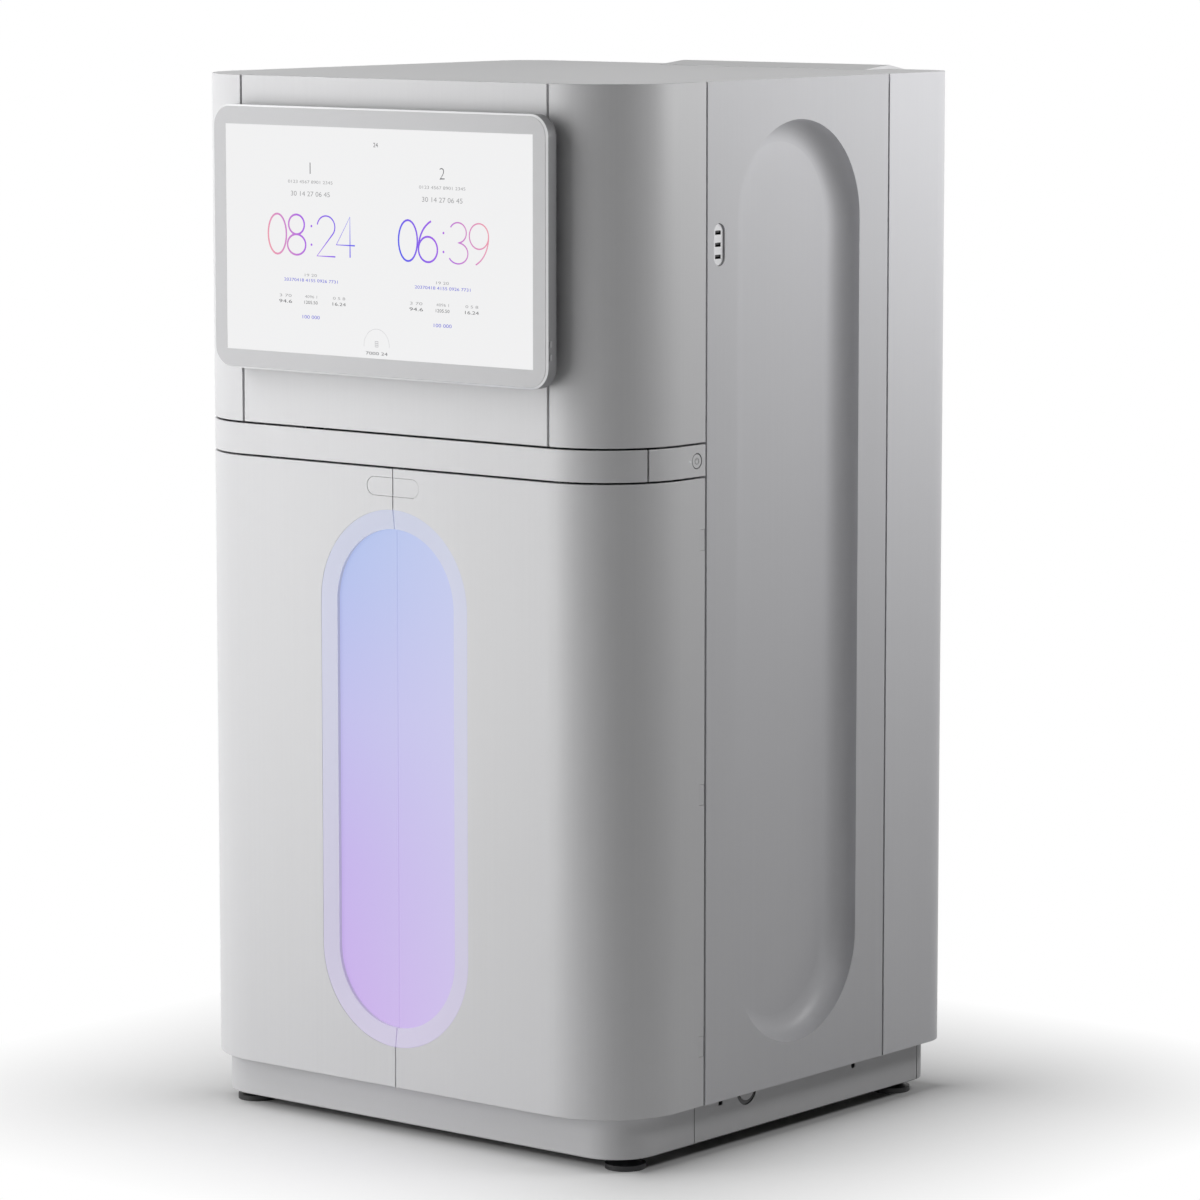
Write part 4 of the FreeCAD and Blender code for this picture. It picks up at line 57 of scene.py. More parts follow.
MONITOR_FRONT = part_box("monitor_housing")[0].y
DRAWER_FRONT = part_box("buffer_drawer")[0].y
EXHAUST_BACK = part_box("exhaust_plenum")[1].y
OBJECTIVE_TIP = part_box("objectives")[0].z

# Just in front of the display's glass, where the marks on the screen lie
SCREEN_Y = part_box("display")[0].y - 0.00015
CLOCK_Z = 1.351
CLOCK_REACH = 0.086
HOME_MARK_Z = 1.1947
FOOT_PAD_TOP = 0.0165
BOTTLE_CAP_FOOT = 0.3679
CAMERA_PLACE = (5.14998, -6.3014, 1.8500)
RIGHT_ANGLE = math.radians(90)


# Settings that a user would change

class CabinetFinish(bpy.types.PropertyGroup):
    shroud_colour: FloatVectorProperty(
        name="Shroud", description="Satin paint of the front, corners and top",
        subtype="COLOR", size=3, min=0, max=1, default=(0.70, 0.70, 0.71))
    side_colour: FloatVectorProperty(
        name="Sides", description="Satin paint of the side and rear shrouds",
        subtype="COLOR", size=3, min=0, max=1, default=(0.66, 0.66, 0.68))
    skirt_colour: FloatVectorProperty(
        name="Skirt", description="Paint of the skirt round the base",
        subtype="COLOR", size=3, min=0, max=1, default=(0.62, 0.62, 0.63))
    shroud_roughness: FloatProperty(
        name="Shroud roughness", description="Blur of the satin paint's reflections",
        subtype="FACTOR", min=0, max=1, default=0.40)


class WindowLook(bpy.types.PropertyGroup):
    top_colour: FloatVectorProperty(
        name="Top glow", description="Colour of the lit window at its top",
        subtype="COLOR", size=3, min=0, max=1, default=(0.37, 0.47, 0.755))
    middle_colour: FloatVectorProperty(
        name="Middle glow", description="Colour of the lit window half way up",
        subtype="COLOR", size=3, min=0, max=1, default=(0.475, 0.455, 0.755))
    bottom_colour: FloatVectorProperty(
        name="Bottom glow", description="Colour of the lit window at its bottom",
        subtype="COLOR", size=3, min=0, max=1, default=(0.54, 0.38, 0.755))
    strength: FloatProperty(
        name="Glow strength", description="How brightly the window is lit",
        min=0, max=4, default=1.0)


class ScreenLook(bpy.types.PropertyGroup):
    background: FloatVectorProperty(
        name="Background", description="Colour of the lit screen",
        subtype="COLOR", size=3, min=0, max=1, default=(0.885, 0.885, 0.89))
    first_clock: StringProperty(
        name="First clock", description="Time shown on the left", default="08:24")
    second_clock: StringProperty(
        name="Second clock", description="Time shown on the right", default="06:39")
    digit_height: FloatProperty(
        name="Digit height", description="Height of the large digits",
        unit="LENGTH", min=0.01, max=0.2, default=0.0593)


class StudioLook(bpy.types.PropertyGroup):
    key_power: FloatProperty(
        name="Key lamp", description="Power of the large lamp at the front left, in watts",
        min=0, max=2000, default=43)
    high_power: FloatProperty(
        name="High lamp", description="Power of the lamp above the key lamp, in watts",
        min=0, max=2000, default=42)
    side_power: FloatProperty(
        name="Side lamp", description="Power of the lamp high on the right side, in watts",
        min=0, max=2000, default=19)
    ambient: FloatProperty(
        name="Ambient", description="Strength of the even light from all round",
        min=0, max=2, default=0.01)
    camera_turn: FloatProperty(
        name="Camera turn", description="Angle of the camera to the right of the front",
        subtype="ANGLE", default=math.radians(39.03))
    camera_tilt: FloatProperty(
        name="Camera tilt", description="Angle by which the camera looks down",
        subtype="ANGLE", default=math.radians(7.541))
    lens: FloatProperty(
        name="Lens", description="Focal length of the camera, in millimetres",
        min=20, max=400, default=160.185)


# Node maths

class Signal:
    """A socket that can be used in Python sums."""

    def __init__(self, tree, socket):
        self.tree = tree
        self.socket = socket

    def join(self, operation, first, second=None):
        node = self.tree.nodes.new("ShaderNodeMath")
        node.operation = operation
        for place, value in enumerate((first, second)):
            if value is None:
                continue
            if isinstance(value, Signal):
                self.tree.links.new(value.socket, node.inputs[place])
            else:
                node.inputs[place].default_value = value
        return Signal(self.tree, node.outputs[0])

    def __add__(self, other):
        return self.join("ADD", self, other)

    def __radd__(self, other):
        return self.join("ADD", other, self)

    def __sub__(self, other):
        return self.join("SUBTRACT", self, other)

    def __rsub__(self, other):
        return self.join("SUBTRACT", other, self)

    def __mul__(self, other):
        return self.join("MULTIPLY", self, other)

    def __rmul__(self, other):
        return self.join("MULTIPLY", other, self)

    def __pow__(self, other):
        return self.join("POWER", self, other)

    def size(self):
        return self.join("ABSOLUTE", self)

    def clamped(self):
        return self.join("MINIMUM", self.join("MAXIMUM", self, 0.0), 1.0)


class Finish:
    """A material and the few calls that build its nodes."""

    def __init__(self, name):
        self.material = bpy.data.materials.new(name)
        self.material.use_nodes = True
        self.tree = self.material.node_tree
        self.tree.nodes.clear()
        self.output = self.tree.nodes.new("ShaderNodeOutputMaterial")

    def node(self, kind, settings=None, **inputs):
        """Add a node, set its options, then give its sockets values or links."""
        made = self.tree.nodes.new(kind)
        for option, setting in (settings or {}).items():
            if option == "stops":
                self.set_stops(made.color_ramp, setting)
            else:
                setattr(made, option, setting)
        for socket, value in inputs.items():
            self.feed(made.inputs[socket.replace("_", " ")], value)
        return made

    def set_stops(self, ramp, stops):
        while len(ramp.elements) < len(stops):
            ramp.elements.new(0.5)
        for element, (place, colour) in zip(ramp.elements, stops):
            element.position = place
            element.color = (*colour, 1.0)

    def feed(self, socket, value):
        if isinstance(value, Signal):
            self.tree.links.new(value.socket, socket)
        elif isinstance(value, bpy.types.NodeSocket):
            self.tree.links.new(value, socket)
        elif socket.type == "RGBA":
            socket.default_value = (*value, 1.0) if len(value) == 3 else value
        else:
            socket.default_value = value

    def signal(self, socket):
        return Signal(self.tree, socket)

    def place(self):
        """Object coordinates, in metres from the floor under the middle."""
        return self.node("ShaderNodeTexCoord").outputs["Object"]

    def axes(self):
        """Object coordinates as three signals."""
        split = self.node("ShaderNodeSeparateXYZ", {}, Vector=self.place())
        return [self.signal(split.outputs[axis]) for axis in "XYZ"]

    def stretched(self, scale):
        mapping = self.node("ShaderNodeMapping", {}, Scale=scale)
        self.feed(mapping.inputs["Vector"], self.place())
        return mapping.outputs["Vector"]

    def noise(self, scale, detail=2.0, vector=None):
        made = self.node("ShaderNodeTexNoise", {}, Scale=scale, Detail=detail)
        self.feed(made.inputs["Vector"], vector or self.place())
        return self.signal(made.outputs["Fac"])

    def blend(self, factor, first, second):
        """Mix of two colours."""
        mix = self.tree.nodes.new("ShaderNodeMix")
        mix.data_type = "RGBA"
        self.feed(mix.inputs[0], factor)
        self.feed(mix.inputs[6], first)
        self.feed(mix.inputs[7], second)
        return mix.outputs[2]

    def bump(self, height, strength, distance):
        made = self.node("ShaderNodeBump", {}, Strength=strength, Distance=distance)
        self.feed(made.inputs["Height"], height)
        return made.outputs["Normal"]

    def surface(self, **inputs):
        """Principled shader to the output; returns the material."""
        shader = self.node("ShaderNodeBsdfPrincipled", {}, **inputs)
        self.tree.links.new(shader.outputs[0], self.output.inputs["Surface"])
        return self.material


def shade(colour, factor):
    return tuple(min(1.0, part * factor) for part in colour)


def satin_paint(name, colour, roughness, metallic=0.0, flake=0.05):
    """Satin paint with fine flake, faint mottling, a trace of orange peel and faint vertical
    streaks of painted sheen.
    """
    finish = Finish(name)
    flakes = finish.noise(2600.0, 1.0)
    clouds = finish.noise(3.2, 3.0)
    peel = finish.noise(420.0, 2.0)
    # Vertical streaks in the colour are painted sheen, for the reflections that run down the paint.
    painted_sheen_streaks = finish.noise(1.0, 2.0, finish.stretched((220.0, 220.0, 1.5)))
    tone = finish.blend(
        (flakes * 0.4 + clouds * 0.3 + painted_sheen_streaks * 0.3).clamped(),
        shade(colour, 1 - flake), shade(colour, 1 + flake))
    rough = clouds * 0.05 + (roughness - 0.025)
    return finish.surface(
        Base_Color=tone, Roughness=rough, Metallic=metallic,
        Normal=finish.bump(peel * 0.6 + flakes * 0.4, 0.10, 0.0002))


def moulded_plastic(name, colour, roughness):
    """Spark-eroded plastic with fine pits and slight tone changes."""
    finish = Finish(name)
    pits = finish.noise(900.0, 2.0)
    clouds = finish.noise(7.0, 2.0)
    tone = finish.blend(clouds.clamped(), shade(colour, 0.94), shade(colour, 1.06))
    return finish.surface(
        Base_Color=tone, Roughness=pits * 0.14 + (roughness - 0.07),
        Normal=finish.bump(pits, 0.25, 0.0002))


def brushed_metal(name, colour, roughness, direction):
    """Metal with drawn or ground lines along one axis."""
    finish = Finish(name)
    lines = finish.noise(1.0, 3.0, finish.stretched(direction))
    clouds = finish.noise(9.0, 2.0)
    tone = finish.blend(lines.clamped(), shade(colour, 0.86), shade(colour, 1.1))
    return finish.surface(
        Base_Color=tone, Metallic=1.0, Roughness=lines * 0.16 + clouds * 0.06 + (roughness - 0.1),
        Normal=finish.bump(lines, 0.12, 0.0002))


def powder_coat(name, colour, roughness):
    """Pebbled powder coat over steel."""
    finish = Finish(name)
    pebbles = finish.noise(650.0, 1.0)
    clouds = finish.noise(5.0, 2.0)
    tone = finish.blend(clouds.clamped(), shade(colour, 0.9), shade(colour, 1.1))
    return finish.surface(
        Base_Color=tone, Roughness=pebbles * 0.12 + (roughness - 0.06),
        Normal=finish.bump(pebbles, 0.35, 0.0004))


def step(signal, level, width):
    """0 below a level, 1 above it, with a short ramp between."""
    return ((signal - level) * (1 / width) + 0.5).clamped()


def foot_finish(name):
    """Black pad on the floor, zinc-plated stem above it; the pad's black is partly its rubber and
    partly painted shade.
    """
    finish = Finish(name)
    stem = step(finish.axes()[2], FOOT_PAD_TOP, 0.0006)
    grain = finish.noise(700.0, 2.0)
    # Near-black pad: partly the rubber's colour, partly painted shade so the pads read as the
    # shadow under the skirt.
    black = finish.blend(grain.clamped(), (0.012, 0.012, 0.013), (0.03, 0.03, 0.032))
    zinc = finish.blend(grain.clamped(), (0.42, 0.43, 0.45), (0.56, 0.57, 0.59))
    return finish.surface(
        Base_Color=finish.blend(stem, black, zinc), Metallic=stem,
        Roughness=grain * 0.16 + 0.40, Normal=finish.bump(grain, 0.2, 0.0002))


def monitor_finish(name):
    """Satin silver bezel with a painted highlight on its chamfer and painted shade on the body
    behind it.
    """
    finish = Finish(name)
    depth = finish.axes()[1] - MONITOR_FRONT
    # Painted shade: the housing behind the bezel is darker, for its shaded sides.
    behind = step(depth, 0.0032, 0.0004)
    # Painted highlight: the chamfer just behind the bezel's front is a bright, partly metallic
    # line.
    edge = step(depth, 0.0004, 0.0003) * (1.0 - behind)
    grain = finish.noise(2400.0, 1.0)
    face = finish.blend(grain.clamped(), (0.50, 0.50, 0.51), (0.55, 0.55, 0.56))
    body = finish.blend(grain.clamped(), (0.30, 0.30, 0.31), (0.34, 0.34, 0.35))
    tone = finish.blend(behind, finish.blend(edge, face, (0.82, 0.82, 0.83)), body)
    return finish.surface(
        Base_Color=tone, Roughness=grain * 0.06 + 0.30, Metallic=edge * 0.6,
        Normal=finish.bump(grain, 0.06, 0.0002))


def port_finish(name):
    """Light silver face with a rim of painted shade; everything behind the face, the sockets
    included, is painted near-black as shade.
    """
    finish = Finish(name)
    x, y, z = finish.axes()
    middle, radius = (PORT_LOW + PORT_HIGH) / 2, (PORT_HIGH.y - PORT_LOW.y) / 2
    beside = y - middle.y
    beyond = ((z - middle.z).size() - (PORT_HIGH.z - middle.z - radius)).clamped()
    # Painted shade: a dark ring round the edge of the plate's face for the shadowed gap, and
    # near-black on everything behind the face.
    rim = step((beside * beside + beyond * beyond) ** 0.5, radius - 0.0014, 0.0003)
    face = step(x, PORT_HIGH.x - 0.0005, 0.0002) * (1.0 - rim)
    grain = finish.noise(1500.0, 2.0)
    silver = finish.blend(grain.clamped(), (0.56, 0.56, 0.57), (0.64, 0.64, 0.65))
    dark = finish.blend(grain.clamped(), (0.008, 0.008, 0.009), (0.02, 0.02, 0.022))
    return finish.surface(
        Base_Color=finish.blend(face, dark, silver), Metallic=face * 0.5,
        Roughness=grain * 0.08 + 0.34, Normal=finish.bump(grain, 0.08, 0.0002))


def button_finish(name):
    """Satin cap with a ring of painted shade round its face."""
    finish = Finish(name)
    middle, radius = (BUTTON_LOW + BUTTON_HIGH) / 2, (BUTTON_HIGH.z - BUTTON_LOW.z) / 2
    _, y, z = finish.axes()
    beside, above = y - middle.y, z - middle.z
    # Painted shade: a dark ring at the edge of the cap's face, for the shadowed gap round the
    # button.
    rim = step((beside * beside + above * above) ** 0.5, radius - 0.0010, 0.0003)
    grain = finish.noise(1500.0, 2.0)
    cap = finish.blend(grain.clamped(), (0.70, 0.70, 0.71), (0.76, 0.76, 0.77))
    return finish.surface(
        Base_Color=finish.blend(rim, cap, (0.20, 0.20, 0.21)), Metallic=rim * 0.3,
        Roughness=grain * 0.06 + 0.28, Normal=finish.bump(grain, 0.06, 0.0002))


def skirt_finish(name, colour):
    """Satin paint with painted shade in the groove and the openings of the skirt's sides."""
    finish = Finish(name)
    x, y = finish.axes()[:2]
    face = step(x.size(), SKIRT_HIGH.x - 0.0010, 0.0006)
    side = step(y, SKIRT_LOW.y + 0.001, 0.0004) * (1.0 - step(y, SKIRT_HIGH.y - 0.001, 0.0004))
    grain = finish.noise(2200.0, 2.0)
    paint_tone = finish.blend(grain.clamped(), shade(colour, 0.96), shade(colour, 1.04))
    # Painted shade: near-black on the skirt's sides wherever the surface lies behind the outer
    # face, in the groove and the openings.
    tone = finish.blend(side * (1.0 - face) * 0.9, paint_tone, (0.03, 0.03, 0.032))
    return finish.surface(
        Base_Color=tone, Roughness=grain * 0.06 + 0.42, Normal=finish.bump(grain, 0.08, 0.0002))


def bottle_finish(name):
    """Milky bottle with a blue screw cap."""
    finish = Finish(name)
    cap = step(finish.axes()[2], BOTTLE_CAP_FOOT, 0.0004)
    clouds = finish.noise(9.0, 2.0)
    milk = finish.blend(clouds.clamped(), (0.68, 0.70, 0.69), (0.78, 0.80, 0.79))
    blue = finish.blend(clouds.clamped(), (0.09, 0.145, 0.28), (0.11, 0.17, 0.32))
    grain = finish.noise(500.0, 2.0)
    return finish.surface(
        Base_Color=finish.blend(cap, milk, blue), Roughness=grain * 0.1 + 0.32,
        Normal=finish.bump(grain, 0.1, 0.0002))


def objective_finish(name):
    """Black barrels with a brass ring and a bright nose."""
    finish = Finish(name)
    height = finish.axes()[2] - OBJECTIVE_TIP
    ring = step(height, 0.062, 0.0003) * (1.0 - step(height, 0.066, 0.0003))
    nose = 1.0 - step(height, 0.012, 0.0003)
    grain = finish.noise(1500.0, 2.0)
    black = finish.blend(grain.clamped(), (0.016, 0.016, 0.018), (0.026, 0.026, 0.028))
    tone = finish.blend(ring, black, (0.62, 0.42, 0.10))
    return finish.surface(
        Base_Color=finish.blend(nose, tone, (0.62, 0.62, 0.64)), Metallic=nose,
        Roughness=grain * 0.1 + 0.26, Normal=finish.bump(grain, 0.2, 0.0002))


def laned_glass(name):
    """Clear coated glass over fine parallel lanes."""
    finish = Finish(name)
    lanes = finish.noise(1.0, 1.0, finish.stretched((400, 2, 2)))
    return finish.surface(
        Base_Color=finish.blend(lanes.clamped(), (0.30, 0.42, 0.50), (0.55, 0.66, 0.72)),
        Roughness=lanes * 0.06 + 0.04, Coat_Weight=0.6)


def lit_window(name, look):
    """Frosted diffuser with light that changes from blue to lilac down the window."""
    finish = Finish(name)
    x, _, z = finish.axes()
    clouds = finish.noise(2.6, 2.0)
    rise = (z - LENS_LOW.z) * (1 / (LENS_HIGH.z - LENS_LOW.z)) + clouds * 0.10 - 0.05
    ramp = finish.node(
        "ShaderNodeValToRGB",
        {"stops": [
            (0.0, tuple(look.bottom_colour)), (0.32, (0.50, 0.40, 0.755)),
            (0.62, tuple(look.middle_colour)), (1.0, tuple(look.top_colour))]},
        Fac=rise.clamped())
    across = (x * 4.5 + 0.5).clamped()
    glow = finish.blend(across * 0.40, ramp.outputs["Color"], (0.60, 0.60, 0.76))
    frost = finish.noise(1600.0, 1.0)
    return finish.surface(
        Base_Color=(0.05, 0.05, 0.06), Roughness=frost * 0.08 + 0.42, Specular_IOR_Level=0.2,
        Emission_Color=glow, Emission_Strength=look.strength,
        Normal=finish.bump(frost, 0.08, 0.0002))


def window_frame_finish(name):
    """Milky frame round the window that carries a little of its light."""
    finish = Finish(name)
    rise = (finish.axes()[2] - TRIM_LOW.z) * (1 / (TRIM_HIGH.z - TRIM_LOW.z))
    ramp = finish.node(
        "ShaderNodeValToRGB",
        {"stops": [
            (0.0, (0.60, 0.50, 0.80)), (0.5, (0.56, 0.55, 0.80)), (1.0, (0.52, 0.58, 0.82))]},
        Fac=rise.clamped())
    haze = finish.noise(1200.0, 1.0)
    return finish.surface(
        Base_Color=(0.40, 0.40, 0.43), Roughness=haze * 0.08 + 0.40,
        Emission_Color=ramp.outputs["Color"], Emission_Strength=0.42,
        Normal=finish.bump(haze, 0.08, 0.0002))


def glowing(name, colour, strength):
    """Even lit colour, for the screen and lamps."""
    finish = Finish(name)
    pixels = finish.noise(1500.0, 1.0)
    tone = finish.blend((pixels * 0.08).clamped(), colour, shade(colour, 0.85))
    return finish.surface(
        Base_Color=(0.02, 0.02, 0.02), Roughness=0.5, Specular_IOR_Level=0.12,
        Emission_Color=tone, Emission_Strength=strength)


def clock_ink(name, stops, left, right):
    """Digits whose colour runs across the clock."""
    finish = Finish(name)
    x, _, z = finish.axes()
    across = (x - left) * (1 / (right - left)) + (z - CLOCK_Z) * 1.6
    ramp = finish.node("ShaderNodeValToRGB", {"stops": stops}, Fac=across.clamped())
    return finish.surface(
        Base_Color=(0.02, 0.02, 0.02), Roughness=0.5, Specular_IOR_Level=0.12,
        Emission_Color=ramp.outputs["Color"], Emission_Strength=0.95)


# Modelling helpers

def deselect():
    for thing in bpy.context.selected_objects:
        thing.select_set(False)


def edit_all():
    """Enter edit mode with the whole mesh selected."""
    bpy.ops.object.mode_set(mode="EDIT")
    bpy.ops.mesh.select_all(action="SELECT")


def start_piece(name):
    """Name the object that an operator has just added."""
    piece = bpy.context.active_object
    piece.name = name
    piece.data.name = name
    return piece


def settle(piece):
    """Put a piece's place, turn and size into its mesh."""
    deselect()
    piece.select_set(True)
    bpy.context.view_layer.objects.active = piece
    bpy.ops.object.transform_apply(location=True, rotation=True, scale=True)
    return piece


def dress_piece(piece, material, body):
    piece.data.materials.clear()
    piece.data.materials.append(material)
    settle(piece)
    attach(piece, body)
    return piece


def join(pieces, name):
    deselect()
    for piece in pieces:
        piece.select_set(True)
    bpy.context.view_layer.objects.active = pieces[0]
    bpy.ops.object.join()
    return start_piece(name)


def paint(nodes, material):
    """Give CAD nodes a finish."""
    for name in nodes:
        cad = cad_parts[name]
        cad.data.materials.clear()
        cad.data.materials.append(material)


def oval(x, y, wide, tall, first=0.0, last=360.0, points=28):
    """Points along an oval about (x, y), from one angle to another."""
    turns = [math.radians(first + (last - first) * step / points) for step in range(points + 1)]
    return [(x + wide * math.cos(turn), y + tall * math.sin(turn)) for turn in turns]


def digit_strokes(digit):
    """Centre lines of a thin digit in a cell half as wide as it is tall."""
    if digit == "0":
        return [oval(0.25, 0.5, 0.25, 0.5)]
    if digit == "1":
        return [[(0.1, 0.82), (0.27, 1.0), (0.27, 0.0)]]
    if digit == "2":
        return [oval(0.25, 0.73, 0.24, 0.27, 170, -35) + [(0.0, 0.0), (0.5, 0.0)]]
    if digit == "3":
        return [oval(0.23, 0.755, 0.22, 0.245, 150, -90) + oval(0.23, 0.255, 0.26, 0.255, 90, -150)]
    if digit == "4":
        return [[(0.37, 0.0), (0.37, 1.0), (0.0, 0.3), (0.5, 0.3)]]
    if digit == "5":
        return [[(0.45, 1.0), (0.09, 1.0), (0.05, 0.56)] + oval(0.23, 0.32, 0.27, 0.32, 130, -145)]
    if digit == "6":
        return [oval(0.25, 0.31, 0.25, 0.31), oval(0.55, 0.31, 0.55, 0.75, 180, 113)]
    if digit == "7":
        return [[(0.0, 1.0), (0.5, 1.0), (0.15, 0.0)]]
    if digit == "8":
        return [oval(0.25, 0.755, 0.215, 0.245), oval(0.25, 0.255, 0.25, 0.255)]
    if digit == "9":
        return [oval(0.25, 0.69, 0.25, 0.31), oval(-0.05, 0.69, 0.55, 0.75, 0, -67)]
    return [oval(0.0, 0.27, 0.014, 0.014, points=8), oval(0.0, 0.73, 0.014, 0.014, points=8)]


def clock_stroke(points, width):
    """One line of a digit as a thin ribbon; a curve made a mesh at once."""
    deselect()
    bpy.ops.curve.primitive_nurbs_path_add(location=(0, 0, 0))
    piece = bpy.context.active_object
    path = piece.data
    path.splines.clear()
    line = path.splines.new("POLY")
    line.points.add(len(points) - 1)
    for spot, (x, z) in zip(line.points, points):
        spot.co = (x, 0, z, 1)
    path.bevel_depth = width / 2
    path.bevel_resolution = 0
    bpy.ops.object.convert(target="MESH")
    piece = bpy.context.active_object
    piece.scale = (1, 0.08, 1)
    piece.location = (0, SCREEN_Y, 0)
    return settle(piece)


def clock(text, middle, height, strokes):
    """Clock digits centred at (x, z); strokes holds the hours' and the minutes' line widths."""
    wide = height * 1.22
    places = []
    reach = 0.0
    for mark in text:
        if mark == ":":
            places.append(reach + height * 0.16)
            reach += height * 0.34
        else:
            places.append(reach)
            reach += wide * 0.5 + height * 0.035
    reach -= height * 0.035
    pieces = []
    for index, (mark, place) in enumerate(zip(text, places)):
        width = strokes[0] if index < 2 else strokes[1]
        for line in digit_strokes(mark):
            spread = height if mark == ":" else wide
            pieces.append(clock_stroke(
                [(middle[0] - reach / 2 + place + x * spread, middle[1] + (z - 0.5) * height)
                 for x, z in line], width))
    return join(pieces, "clock")


def flat_number(text, middle, height, width=None, thin=0.0, front=SCREEN_Y):
    """Flat digits that face forwards, centred at (x, z), with a given height."""
    deselect()
    bpy.ops.object.text_add(location=(0, 0, 0))
    piece = bpy.context.active_object
    piece.data.body = text
    piece.data.align_x = "CENTER"
    piece.data.align_y = "CENTER"
    piece.data.offset = -thin
    piece.data.resolution_u = 4
    bpy.ops.object.convert(target="MESH")
    piece = bpy.context.active_object
    size = piece.dimensions.copy()
    tall = height / size.y
    wide = width / size.x if width else tall
    corners = [Vector(corner) for corner in piece.bound_box]
    centre = sum(corners, Vector()) / 8
    piece.data.transform(Matrix.Translation(-centre))
    piece.scale = (wide, tall, 1)
    piece.rotation_euler = (RIGHT_ANGLE, 0, 0)
    piece.location = (middle[0], front, middle[1])
    return settle(piece)


def screen_bar(middle, size):
    """Flat bar with round ends on the screen."""
    deselect()
    bpy.ops.mesh.primitive_plane_add(size=1, location=(middle[0], SCREEN_Y, middle[1]))
    piece = bpy.context.active_object
    piece.rotation_euler = (RIGHT_ANGLE, 0, 0)
    piece.scale = (size[0], size[1], 1)
    settle(piece)
    edit_all()
    bpy.ops.mesh.bevel(offset=min(size) * 0.42, segments=3, affect="VERTICES")
    bpy.ops.object.mode_set(mode="OBJECT")
    return piece


def block(low, high, edge):
    """Box between two corners with its edges bevelled."""
    deselect()
    size = Vector(high) - Vector(low)
    bpy.ops.mesh.primitive_cube_add(size=1, location=(Vector(low) + Vector(high)) / 2)
    piece = bpy.context.active_object
    piece.scale = size
    settle(piece)
    edit_all()
    bpy.ops.mesh.bevel(offset=edge, segments=2, affect="EDGES")
    bpy.ops.object.mode_set(mode="OBJECT")
    return piece


def rod(middle, radius, length, axis, sides, edge):
    """Rod along x, y or z; its ends run out in a chamfer, or in where the edge is negative."""
    deselect()
    turn = {"x": (0, RIGHT_ANGLE, 0), "y": (RIGHT_ANGLE, 0, 0), "z": (0, 0, 0)}[axis]
    bpy.ops.mesh.primitive_cylinder_add(
        vertices=sides, radius=radius, depth=length, location=middle, rotation=turn)
    piece = settle(bpy.context.active_object)
    bpy.ops.object.mode_set(mode="EDIT")
    bpy.ops.mesh.select_mode(type="FACE")
    bpy.ops.mesh.select_all(action="DESELECT")
    bpy.ops.mesh.select_face_by_sides(number=4, type="GREATER")
    bpy.ops.mesh.inset(thickness=abs(edge), depth=edge)
    bpy.ops.mesh.select_mode(type="VERT")
    bpy.ops.object.mode_set(mode="OBJECT")
    return piece


def repeats(piece, moves):
    """The piece and its copies, each copy with its own mesh, moved by a matrix or an offset."""
    pieces = [piece]
    for move in moves:
        other = piece.copy()
        other.data = piece.data.copy()
        bpy.context.scene.collection.objects.link(other)
        other.data.transform(move if isinstance(move, Matrix) else Matrix.Translation(move))
        pieces.append(other)
    return pieces


# Operators

